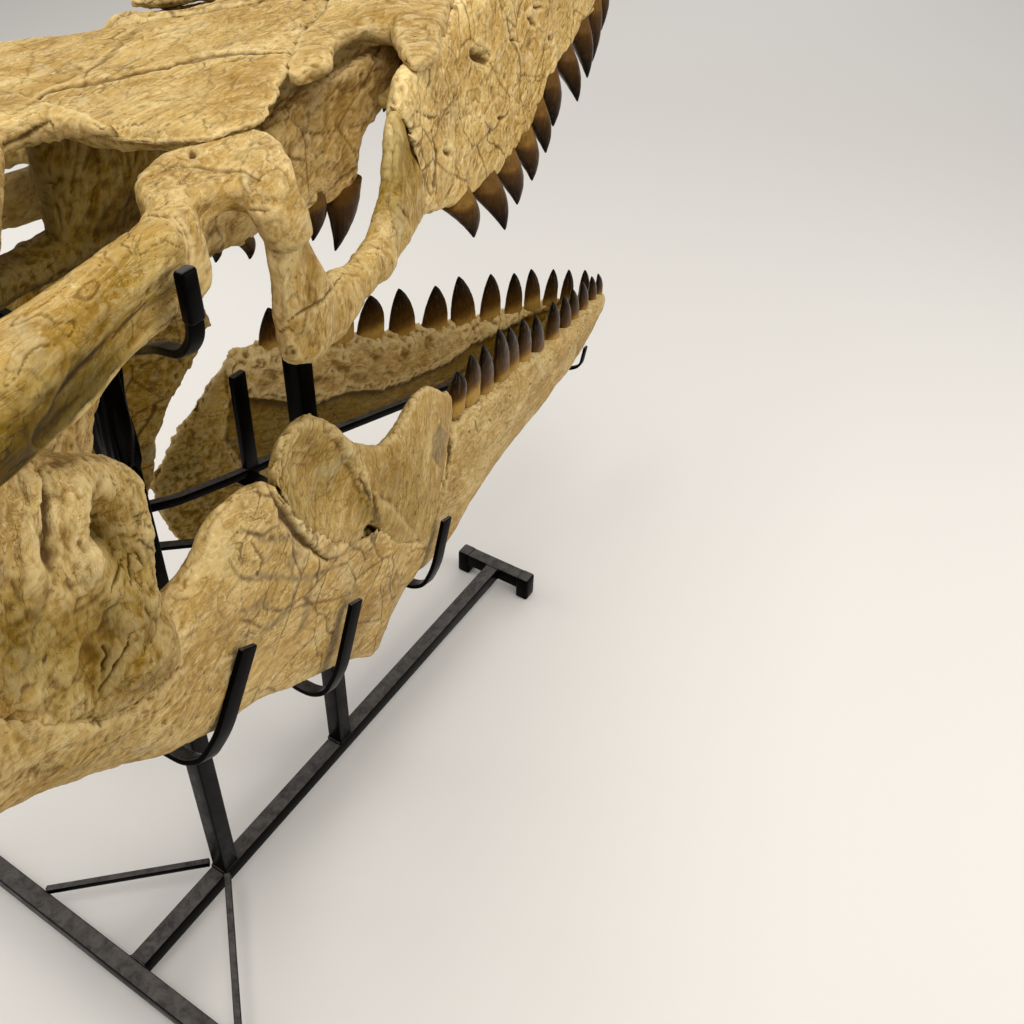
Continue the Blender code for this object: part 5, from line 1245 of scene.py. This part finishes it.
def bar(points, width, thick, axis, corner=0.0012, bend=0.010):
    """Bar of rounded rectangular section along a path."""
    pts = rounded(points, bend) if bend else [np.array(p, float) for p in points]
    a = np.array(axis, float)
    a /= np.linalg.norm(a)
    section = []
    for sx, sy, start in ((1, 1, 0), (-1, 1, 90), (-1, -1, 180), (1, -1, 270)):
        for k in range(4):
            q = math.radians(start + 30 * k)
            section.append((sx * (width / 2 - corner) + corner * math.cos(q), sy * (thick / 2 - corner) + corner * math.sin(q)))
    section = np.array(section)
    rings = []
    for i, p in enumerate(pts):
        d = []
        if i:
            v = p - pts[i - 1]
            d.append(v / np.linalg.norm(v))
        if i < len(pts) - 1:
            v = pts[i + 1] - p
            d.append(v / np.linalg.norm(v))
        t = sum(d)
        t /= np.linalg.norm(t)
        n = np.cross(a, t)
        n /= np.linalg.norm(n)
        w = np.cross(t, n)
        k = 1 / max(0.5, abs(t @ d[0]))
        ends = ((0.0, 0.0),) if 0 < i < len(pts) - 1 else (((corner, 0.0), (corner * 0.3, corner * 0.3), (0.0, corner)) if i == 0
                                                           else ((0.0, -corner), (corner * 0.3, -corner * 0.3), (corner, 0.0)))
        for inset, along in ends:
            sw = (width / 2 - inset) / (width / 2)
            st = (thick / 2 - inset) / (thick / 2)
            rings.append(p + t * along + section[:, :1] * sw * w + section[:, 1:] * st * k * n)
    return skin(np.array(rings))


def tube(a, b, size, up=(0, 0, 1), corner=0.0022, width=None):
    return bar((a, b), width or size, size, up, corner, 0)


def weld(points, radius, seed):
    """A bead of weld along a joint: a thin lumpy roll."""
    P = [np.array(p, float) for p in points]
    pts = []
    for a, b in zip(P[:-1], P[1:]):
        n = max(2, int(np.linalg.norm(b - a) / 0.0012))
        pts += [a + (b - a) * k / n for k in range(n)]
    pts.append(P[-1])
    rings = []
    for i, p in enumerate(pts):
        v = pts[min(i + 1, len(pts) - 1)] - pts[max(i - 1, 0)]
        t = v / np.linalg.norm(v)
        side = np.cross(t, (0.31, 0.52, 0.79))
        side /= np.linalg.norm(side)
        up = np.cross(t, side)
        r = radius * (1 + 0.22 * math.sin(i * 1.9 + seed)) * (0.4 if i in (0, len(pts) - 1) else 1)
        q = 2 * math.pi * np.arange(10) / 10
        rings.append(p + r * (np.cos(q)[:, None] * side + np.sin(q)[:, None] * up))
    return skin(np.array(rings))


def ring_of(x0, x1, y0, y1, z):
    return ((x0, y0, z), (x1, y0, z), (x1, y1, z), (x0, y1, z), (x0, y0, z))


half = TUBE / 2
z0, z1 = BEAM_Z - half, BEAM_Z + half
STEEL_PARTS = {}
base = [tube((0, -REAR_HALF, BEAM_Z), (0, REAR_HALF, BEAM_Z), TUBE), tube((half - 0.0005, 0, BEAM_Z), (BEAM_LEN - half + 0.0005, 0, BEAM_Z), TUBE),
        tube((BEAM_LEN, -T_FOOT / 2, BEAM_Z), (BEAM_LEN, T_FOOT / 2, BEAM_Z), TUBE)]
for fx, fy in ((0, -REAR_HALF), (0, REAR_HALF), (BEAM_LEN, -T_FOOT / 2), (BEAM_LEN, T_FOOT / 2)):
    s = 1 if fy > 0 else -1
    base.append(bar(((fx, fy - s * 0.020, (z1 + 0.001) / 2), (fx, fy + s * 0.004, (z1 + 0.001) / 2)), TUBE + 0.002, z1 + 0.001, (1, 0, 0), 0.0035, 0))
for s in (-1, 1):
    for zz in (z0 + 0.001, z1 - 0.001):
        base.append(weld(((half, s * (half + 0.001), zz), (half, s * 0.002, zz)), 0.0016, 3))
    base.append(weld(((half + 0.0008, s * (half + 0.0005), z0 + 0.002), (half + 0.0008, s * (half + 0.0005), z1 - 0.002)), 0.0018, 5))
    base.append(weld(((BEAM_LEN - half - 0.0008, s * (half + 0.0005), z0 + 0.002), (BEAM_LEN - half - 0.0008, s * (half + 0.0005), z1 - 0.002)), 0.0018, 6))
base.append(weld(((half + 0.0006, -half, z1 - 0.0004), (half + 0.0006, half, z1 - 0.0004)), 0.0014, 9))
base.append(weld(((BEAM_LEN - half - 0.0006, -half, z1 - 0.0004), (BEAM_LEN - half - 0.0006, half, z1 - 0.0004)), 0.0014, 12))
STEEL_PARTS["stand_base"] = base
for s, tag in ((-1, "_R"), (1, "_L")):
    STEEL_PARTS["stand_brace" + tag] = [
        bar(((0.0133, s * 0.1745, 0.046), (POST_REAR_X - half - 0.0005, s * 0.0165, 0.050)), 0.009, 0.009, (0, 0, 1), 0.0012, 0),
        weld(((0.0150, s * 0.1660, 0.0445), (0.0150, s * 0.1790, 0.0445)), 0.0016, 4)]
for nm, px_, top in (("rear", POST_REAR_X, POST_REAR_TOP), ("front", POST_FRONT_X, POST_FRONT_TOP)):
    e = half + 0.0006
    STEEL_PARTS["stand_post_" + nm] = [tube((px_, 0, z1 + 0.0006), (px_, 0, top), TUBE, (0, 1, 0)),
                                       weld(ring_of(px_ - e, px_ + e, -e + 0.001, e - 0.001, z1 + 0.0018), 0.0019, 7)]
SLEEVE_Z = [r[0] for r in SLEEVE]


def sleeve():
    """The wrap: a loose skin in long twisted folds."""
    rings = []
    for z in np.linspace(SLEEVE_Z[0], SLEEVE_Z[-1], 150):
        x, a, b = (float(np.interp(z, SLEEVE_Z, [r[k] for r in SLEEVE])) for k in (1, 3, 4))
        q = 2 * math.pi * np.arange(120) / 120
        fold = 0.0016 * np.cos(5 * q + 22 * (z - 0.8)) + 0.0012 * np.cos(9 * q - 31 * (z - 0.8) + 1.0) + 0.0008 * np.cos(3 * q + 60 * z)
        fold = fold - 0.0034
        ex = 2 / 3.2
        rings.append(np.stack((x + (a + fold) * np.sign(np.cos(q)) * np.abs(np.cos(q)) ** ex,
                               (b + fold) * np.sign(np.sin(q)) * np.abs(np.sin(q)) ** ex, np.full(len(q), z)), 1))
    return skin(np.array(rings))


STEEL_PARTS["stand_post_rear"].append(sleeve())
ROD = ((POST_REAR_X + half + 0.0005, 0, 0.6895), (0.226, 0, 0.672), (0.303, 0, 0.648), (0.478, 0, 0.604), (0.734, 0, 0.526), (1.020, 0, 0.424), (1.060, 0, 0.398))
STEEL_PARTS["stand_jaw_rod"] = [
    bar(ROD, 0.010, 0.010, (0, 1, 0), 0.0012, 0.010), bar(((0.335, 0, 0.630), (0.337, 0, 0.768)), 0.019, 0.008, (1, 0, 0), 0.0012, 0),
    bar(((0.322, 0, 0.640), (0.350, 0, 0.606)), 0.012, 0.020, (0, 1, 0), 0.0016, 0),
    bar(((1.048, -0.066, 0.452), (1.048, -0.060, 0.412), (1.048, -0.036, 0.397), (1.048, 0.036, 0.397), (1.048, 0.060, 0.412), (1.048, 0.066, 0.452)),
        0.010, 0.004, (1, 0, 0), 0.0010, 0.014)]


def strap(side, x, z, length, lean, post_x, z_post):
    ux, uz = math.sin(math.radians(lean)), math.cos(math.radians(lean))
    wo, wi = jaw_w(x) + 0.022, jaw_w(x) - 0.034
    run = ((0.0, wo + 0.002), (length - 0.040, wo - 0.002), (length - 0.010, wo - 0.012), (length, wo - 0.028), (length + 0.002, wi))
    pts = [(x - ux * d, side * w, z - uz * d) for d, w in run]
    end = np.array((post_x, side * (half + 0.0008), z_post))
    last = np.array((post_x, side * 0.006, z_post))
    prev = np.array(pts[-1])
    f = (prev[1] - end[1]) / (prev[1] - last[1])
    pts.append(tuple(prev + (last - prev) * f))
    foot = pts[-1]
    return [bar(pts, 0.018, 0.005, (uz, 0, -ux), 0.0012, 0.016),
            weld(((foot[0] - 0.009 * uz, foot[1] + side * 0.0012, foot[2] + 0.0032 + 0.009 * ux), (foot[0] + 0.009 * uz, foot[1] + side * 0.0012, foot[2] + 0.0032 - 0.009 * ux)), 0.0015, 2)]


STRAPS = (("rear", 0.064, 0.764, 0.118, 28, POST_REAR_X, 0.400), ("mid", 0.232, 0.648, 0.122, 19, POST_FRONT_X, 0.470),
          ("front", 0.456, 0.566, 0.108, 14, POST_FRONT_X, 0.390))
for s, tag in ((-1, "_R"), (1, "_L")):
    for nm, x, z, length, lean, px_, zp in STRAPS:
        STEEL_PARTS["stand_strap_" + nm + tag] = strap(s, x, z, length, lean, px_, zp)
    a, b = np.array((POST_REAR_X, s * 0.004, 0.868)), np.array((0.150, s * 0.060, 0.905))
    f = (half + 0.0008 - 0.004) / 0.056
    STEEL_PARTS["stand_arch_hook" + tag] = [
        bar((a + (b - a) * (f + 0.12), b, (0.095, s * 0.170, 0.985), (0.056, s * 0.246, 1.034), (0.053, s * 0.272, 1.040),
             (0.053, s * 0.284, 1.056), (0.053, s * 0.284, 1.094)), 0.0105, 0.006, (1, 0.3 * s, 0), 0.0012, 0.012),
        bar(((0.053, s * 0.2845, 1.066), (0.053, s * 0.2838, 1.100)), 0.0125, 0.0085, (1, 0, 0), 0.0022, 0)]
STANDS = {}
for name, parts in STEEL_PARTS.items():
    V, F = merged(parts)
    ob = new_object(name + "_steel", np.clip(V + SHIFT, np.array(cad_box[0]), np.array(cad_box[1])), F, SHOWN)
    ob.data.shade_smooth()
    ob.data.set_sharp_from_angle(angle=math.radians(50))
    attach(ob, "root")
    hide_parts(name)
    STANDS[name] = ob


# ------------------------------------------------------------------ materials
def rgb(text):
    """sRGB hex to linear."""
    c = [int(text[i:i + 2], 16) / 255 for i in (0, 2, 4)]
    return tuple(v / 12.92 if v <= 0.04045 else ((v + 0.055) / 1.055) ** 2.4 for v in c) + (1.0,)


class Graph:
    def __init__(self, name):
        self.mat = bpy.data.materials.new(name)
        self.mat.use_nodes = True
        self.t = self.mat.node_tree
        self.shader = self.t.nodes["Principled BSDF"]
        self.co = self.t.nodes.new("ShaderNodeTexCoord").outputs["Object"]

    def link(self, a, b):
        self.t.links.new(a, b)

    def put(self, socket, value):
        if isinstance(value, bpy.types.NodeSocket):
            self.link(value, socket)
        else:
            socket.default_value = value

    def mapped(self, scale=(1, 1, 1), turn=(0, 0, 0), move=(0, 0, 0)):
        n = self.t.nodes.new("ShaderNodeMapping")
        n.inputs["Scale"].default_value = scale
        n.inputs["Rotation"].default_value = turn
        n.inputs["Location"].default_value = move
        self.link(self.co, n.inputs["Vector"])
        return n.outputs[0]

    def noise(self, scale, detail=3.0, rough=0.55, distort=0.0, vector=None, kind="FBM"):
        n = self.t.nodes.new("ShaderNodeTexNoise")
        n.noise_type = kind
        n.inputs["Scale"].default_value = scale
        n.inputs["Detail"].default_value = detail
        n.inputs["Roughness"].default_value = rough
        n.inputs["Distortion"].default_value = distort
        self.link(vector or self.co, n.inputs["Vector"])
        return n.outputs["Fac"]

    def cells(self, scale, vector=None, feature="DISTANCE_TO_EDGE"):
        n = self.t.nodes.new("ShaderNodeTexVoronoi")
        n.feature = feature
        n.inputs["Scale"].default_value = scale
        self.link(vector or self.co, n.inputs["Vector"])
        return n.outputs["Distance"]

    def ramp(self, value, stops, smooth_=False):
        n = self.t.nodes.new("ShaderNodeValToRGB")
        e = n.color_ramp.elements
        while len(e) < len(stops):
            e.new(0.5)
        for el, (p, c) in zip(e, stops):
            el.position = p
            el.color = rgb(c) if isinstance(c, str) else (c, c, c, 1)
        if smooth_:
            n.color_ramp.interpolation = "EASE"
        self.link(value, n.inputs["Fac"])
        return n.outputs["Color"]

    def range(self, value, a, b, lo=0.0, hi=1.0):
        n = self.t.nodes.new("ShaderNodeMapRange")
        n.inputs["From Min"].default_value = a
        n.inputs["From Max"].default_value = b
        n.inputs["To Min"].default_value = lo
        n.inputs["To Max"].default_value = hi
        self.link(value, n.inputs["Value"])
        return n.outputs["Result"]

    def math(self, op, a, b=0.0, clamp=False):
        n = self.t.nodes.new("ShaderNodeMath")
        n.operation = op
        n.use_clamp = clamp
        self.put(n.inputs[0], a)
        self.put(n.inputs[1], b)
        return n.outputs[0]

    def mix(self, fac, a, b, blend="MIX"):
        n = self.t.nodes.new("ShaderNodeMix")
        n.data_type = "RGBA"
        n.blend_type = blend
        n.clamp_factor = True
        self.put(n.inputs["Factor"], fac)
        for key, v in (("A", a), ("B", b)):
            s = [x for x in n.inputs if x.name == key and x.type == "RGBA"][0]
            self.put(s, rgb(v) if isinstance(v, str) else v)
        return [x for x in n.outputs if x.type == "RGBA"][0]

    def attribute(self, name):
        n = self.t.nodes.new("ShaderNodeAttribute")
        n.attribute_name = name
        return n.outputs["Fac"]

    def bump(self, height, strength, distance, normal=None):
        n = self.t.nodes.new("ShaderNodeBump")
        n.inputs["Strength"].default_value = strength
        n.inputs["Distance"].default_value = distance
        self.link(height, n.inputs["Height"])
        if normal:
            self.link(normal, n.inputs["Normal"])
        return n.outputs["Normal"]


def bone_material(name, grain, light=1.0, seed=0.0):
    g = Graph(name)
    d = Vector(grain).normalized()
    turn = d.to_track_quat("X", "Z").to_euler()
    along = g.t.nodes.new("ShaderNodeMapping")
    along.vector_type = "TEXTURE"
    along.inputs["Rotation"].default_value = turn
    along.inputs["Location"].default_value = (seed, seed * 0.7, 0)
    g.link(g.co, along.inputs["Vector"])
    stretch = g.t.nodes.new("ShaderNodeMapping")
    stretch.inputs["Scale"].default_value = (0.32, 1, 1)
    g.link(along.outputs[0], stretch.inputs["Vector"])
    lay = stretch.outputs[0]
    big = g.noise(9, 4, 0.55, 0.6, along.outputs[0])
    base = g.ramp(big, ((0.30, "9a752c"), (0.50, "b59149"), (0.70, "ceb270")))
    mid = g.noise(30, 4, 0.62, 0.7, lay)
    base = g.mix(0.48, base, g.ramp(mid, ((0.30, "84601f"), (0.50, "b59149"), (0.70, "dac288"))))
    streak = g.noise(150, 3, 0.6, 1.6, lay)
    base = g.mix(g.range(streak, 0.52, 0.70, 0.0, 0.44), base, "e4cf98")
    base = g.mix(g.range(streak, 0.47, 0.29, 0.0, 0.48), base, "765318")
    whirl = g.math("ABSOLUTE", g.math("SUBTRACT", g.noise(88, 3, 0.55, 2.4, lay), 0.52))
    whirl_at = g.range(g.noise(21, 2, 0.5, 0.0, along.outputs[0]), 0.42, 0.58, 0.0, 1.0)
    base = g.mix(g.math("MULTIPLY", g.range(whirl, 0.020, 0.004, 0.0, 0.55), whirl_at), base, "6e4d18")
    curl = g.math("ABSOLUTE", g.math("SUBTRACT", g.noise(62, 3, 0.55, 2.6, lay), 0.5))
    curl_at = g.range(g.noise(27, 2, 0.5), 0.44, 0.60, 0.0, 1.0)
    base = g.mix(g.math("MULTIPLY", g.range(curl, 0.020, 0.004, 0.0, 0.55), curl_at), base, "e6d3a2")
    hair = g.math("ABSOLUTE", g.math("SUBTRACT", g.noise(30, 5, 0.60, 0.9, lay), 0.5))
    hairs = g.math("MULTIPLY", g.range(hair, 0.0085, 0.0015, 0.0, 1.0), g.range(g.noise(14, 2, 0.5), 0.46, 0.58, 0.0, 0.75))
    base = g.mix(hairs, base, "543810")
    bent = g.t.nodes.new("ShaderNodeVectorMath")
    bent.operation = "MULTIPLY_ADD"
    wobble = g.t.nodes.new("ShaderNodeTexNoise")
    wobble.inputs["Scale"].default_value = 45
    wobble.inputs["Detail"].default_value = 4
    g.link(along.outputs[0], wobble.inputs["Vector"])
    g.link(wobble.outputs["Color"], bent.inputs[0])
    bent.inputs[1].default_value = (0.028, 0.028, 0.028)
    g.link(along.outputs[0], bent.inputs[2])
    net = g.range(g.cells(19, bent.outputs[0]), 0.022, 0.006, 0.0, 1.0)
    net = g.math("MULTIPLY", net, g.range(g.noise(10, 2, 0.5), 0.44, 0.60, 0.0, 0.7))
    small = g.range(g.cells(55, bent.outputs[0]), 0.035, 0.010, 0.0, 1.0)
    small = g.math("MULTIPLY", small, g.range(g.noise(17, 2, 0.5, 0.0, along.outputs[0]), 0.52, 0.62, 0.0, 0.55))
    net = g.math("MAXIMUM", net, small)
    base = g.mix(g.math("MULTIPLY", net, 0.48), base, "4f3510")
    fleck = g.range(g.noise(230, 2, 0.5), 0.68, 0.74, 0.0, 0.6)
    base = g.mix(fleck, base, "5e4214")
    stain = g.range(g.noise(13, 4, 0.65, 0.9, along.outputs[0]), 0.54, 0.68, 0.0, 0.42)
    base = g.mix(stain, base, "86642a")
    grey = g.range(g.noise(16, 4, 0.62, 1.2), 0.58, 0.67, 0.0, 0.42)
    base = g.mix(grey, base, "cbbb90")
    fill = g.attribute("fill")
    filler = g.ramp(g.noise(90, 4, 0.6, 0.8), ((0.35, "77613a"), (0.5, "8a7346"), (0.65, "9c8656")))
    base = g.mix(g.math("MULTIPLY", fill, 0.85), base, filler)
    # painted shade in fine hollows and painted highlight on fine ridges
    fine_shade_and_highlight = g.attribute("fine_shade_and_highlight")
    base = g.mix(g.range(fine_shade_and_highlight, -0.10, -0.95, 0.0, 0.30), base, "e6cf98")
    base = g.mix(g.range(fine_shade_and_highlight, 0.15, 1.0, 0.0, 0.48), base, "553a10")
    # painted shade in broad hollows and painted highlight on broad ridges
    broad_shade_and_highlight = g.attribute("broad_shade_and_highlight")
    base = g.mix(g.range(broad_shade_and_highlight, 0.08, 1.0, 0.0, 0.50), base, "603f08")
    base = g.mix(g.range(broad_shade_and_highlight, -0.15, -1.0, 0.0, 0.20), base, "e2ca92")
    # dark cracks and sutures, with painted shade in pits and pores
    base = g.mix(g.math("MULTIPLY", g.attribute("crack_and_pit_shade"), 0.80), base, "432c0c")
    # painted light brightens the bone, painted shade darkens and saturates it
    tone = g.attribute("tone")
    shade = g.t.nodes.new("ShaderNodeHueSaturation")
    g.link(g.range(tone, 0.0, -1.0, 0.98, 1.32), shade.inputs["Saturation"])
    dim = g.range(tone, 0.0, -1.0, 1.0, 0.10)
    lift = g.range(tone, 0.0, 1.0, 1.04, 1.62)
    g.link(g.math("MULTIPLY", dim, lift), shade.inputs["Value"])
    g.link(base, shade.inputs["Color"])
    g.link(shade.outputs[0], g.shader.inputs["Base Color"])
    g.link(g.range(g.noise(60, 4, 0.6, 0.4), 0.3, 0.7, 0.44, 0.68), g.shader.inputs["Roughness"])
    g.shader.inputs["Specular IOR Level"].default_value = 0.12
    n = g.bump(mid, 0.45, 0.0020)
    n = g.bump(streak, 0.50, 0.0010, n)
    n = g.bump(curl, 0.55, 0.0030, n)
    n = g.bump(g.noise(520, 2, 0.6, 0.3), 0.30, 0.0005, n)
    g.link(n, g.shader.inputs["Normal"])
    return g.mat


def tooth_material():
    g = Graph("tooth")
    h = g.attribute("height")
    streak = g.noise(1.0, 4, 0.6, 0.4, g.mapped((420, 420, 60)))
    blotch = g.noise(120, 3, 0.6, 0.8)
    h2 = g.math("ADD", h, g.math("MULTIPLY", g.math("SUBTRACT", blotch, 0.5), 0.14))
    h2 = g.math("ADD", h2, g.math("MULTIPLY", g.math("SUBTRACT", g.attribute("which"), 0.5), 0.10))
    # darker along the cutting edges fore and aft: painted shade standing in for the dark rims of the glossy crowns
    h2 = g.math("ADD", h2, g.math("MULTIPLY", g.attribute("keel"), 0.10))
    base = g.ramp(h2, ((0.0, "a9853f"), (0.08, "94712f"), (0.18, "69481b"), (0.28, "493010"), (0.60, "2c1b08"), (0.82, "170d04"), (1.0, "070402")))
    base = g.mix(g.range(streak, 0.54, 0.72, 0.0, 0.30), base, "7d5c24")
    base = g.mix(g.range(streak, 0.46, 0.30, 0.0, 0.40), base, "1a1005")
    g.link(base, g.shader.inputs["Base Color"])
    g.link(g.range(h2, 0.12, 0.36, 0.50, 0.20), g.shader.inputs["Roughness"])
    g.shader.inputs["Specular IOR Level"].default_value = 0.07
    g.link(g.bump(streak, 0.10, 0.0006), g.shader.inputs["Normal"])
    return g.mat


def steel_material(name, dark, light):
    g = Graph(name)
    big = g.noise(22, 5, 0.65, 0.6)
    fine = g.noise(1.0, 3, 0.6, 0.3, g.mapped((240, 240, 240)))
    base = g.ramp(big, ((0.34, dark), (0.60, light)))
    base = g.mix(g.range(fine, 0.60, 0.72, 0.0, 0.15), base, "1a1816")
    geo = g.t.nodes.new("ShaderNodeNewGeometry")
    split = g.t.nodes.new("ShaderNodeSeparateXYZ")
    g.link(geo.outputs["Normal"], split.inputs[0])
    # lighter on upward faces: partly a dusty film, partly painted sheen of the overhead light
    dust_and_sheen = g.math("MULTIPLY", g.range(split.outputs["Z"], 0.75, 0.97, 0.0, 1.0), g.range(g.noise(60, 5, 0.7, 0.5), 0.35, 0.62, 0.45, 1.0))
    base = g.mix(dust_and_sheen, base, "5c5855")
    g.link(base, g.shader.inputs["Base Color"])
    g.link(g.range(big, 0.35, 0.68, 0.22, 0.40), g.shader.inputs["Roughness"])
    g.shader.inputs["Specular IOR Level"].default_value = 0.035
    g.link(g.bump(fine, 0.10, 0.0003), g.shader.inputs["Normal"])
    return g.mat


def give(ob, mat):
    ob.data.materials.clear()
    ob.data.materials.append(mat)


GROUP_MATS = {}
for i, (name, ob) in enumerate(sorted(BONES.items())):
    stem = name[:-2] if name[-2:] in ("_R", "_L") else name
    key = (stem, name[-2:] if name[-2:] in ("_R", "_L") else "")
    GROUP_MATS[key] = bone_material("bone_" + name, GRAIN[name], seed=0.37 * i)
    give(ob, GROUP_MATS[key])
TOOTH = tooth_material()
for ob in TEETH.values():
    give(ob, TOOTH)
STEEL_MAT = steel_material("blackened_steel", "020202", "050404")
for ob in STANDS.values():
    give(ob, STEEL_MAT)

# ------------------------------------------------------------------ floor, light, camera
floor = new_object("floor", [(-30, -30, 0), (30, -30, 0), (30, 30, 0), (-30, 30, 0)], [(0, 1, 2, 3)], SHOWN)
g = Graph("studio_floor")
g.link(g.ramp(g.noise(0.35, 2, 0.5), ((0.3, "e9e5df"), (0.7, "edeae5"))), g.shader.inputs["Base Color"])
g.shader.inputs["Roughness"].default_value = 0.9
g.shader.inputs["Specular IOR Level"].default_value = 0.15
give(floor, g.mat)

scene = bpy.context.scene
scene.view_settings.view_transform = "Standard"
world = bpy.data.worlds.new("studio")
scene.world = world
world.use_nodes = True
world.node_tree.nodes["Background"].inputs["Color"].default_value = (1.0, 0.985, 0.965, 1)
world.node_tree.nodes["Background"].inputs["Strength"].default_value = 0.385


def area(name, place, target, size, energy, colour):
    data = bpy.data.lights.new(name, "AREA")
    data.shape = "RECTANGLE"
    data.size, data.size_y = size
    data.energy = energy
    data.color = colour
    ob = bpy.data.objects.new(name, data)
    SHOWN.objects.link(ob)
    ob.location = place
    ob.rotation_euler = (Vector(target) - Vector(place)).to_track_quat("-Z", "Y").to_euler()
    return ob


area("key", (-0.6, -0.3, 3.4), (0.1, 0, 0.5), (2.4, 2.4), 69, (1.0, 0.980, 0.955))
area("fill", (1.1, -2.6, 1.6), (0.15, 0, 0.75), (1.8, 1.4), 27, (1.0, 0.965, 0.90))
area("behind", (-0.2, 2.4, 1.3), (0.5, 0.5, 0.0), (2.2, 1.4), 15, (1.0, 0.985, 0.965))
area("far", (5.0, 1.7, 3.4), (4.4, 1.5, 0.0), (3.4, 3.4), 46, (0.98, 0.99, 1.0))

cam = bpy.data.cameras.new("camera")
cam_ob = bpy.data.objects.new("camera", cam)
SHOWN.objects.link(cam_ob)
m = Matrix.Identity(4)
for i in range(3):
    m[i][0], m[i][1], m[i][2] = CAM_R[i], CAM_U[i], -CAM_F[i]
    m[i][3] = EYE[i] + SHIFT[i]
cam_ob.matrix_world = m
cam.sensor_width = 36
cam.lens = 36 * FOCAL / 1024
cam.shift_x = (512 - CX) / 1024
cam.shift_y = (CY - 512) / 1024
cam.clip_start = 0.01
scene.camera = cam_ob

bpy.data.collections.remove(SCRATCH)
total = sum(len(p.vertices) - 2 for o in SHOWN.objects if o.type == "MESH" for p in o.data.polygons)
print("SCENE", round(time.perf_counter() - T0, 1), "triangles", total)
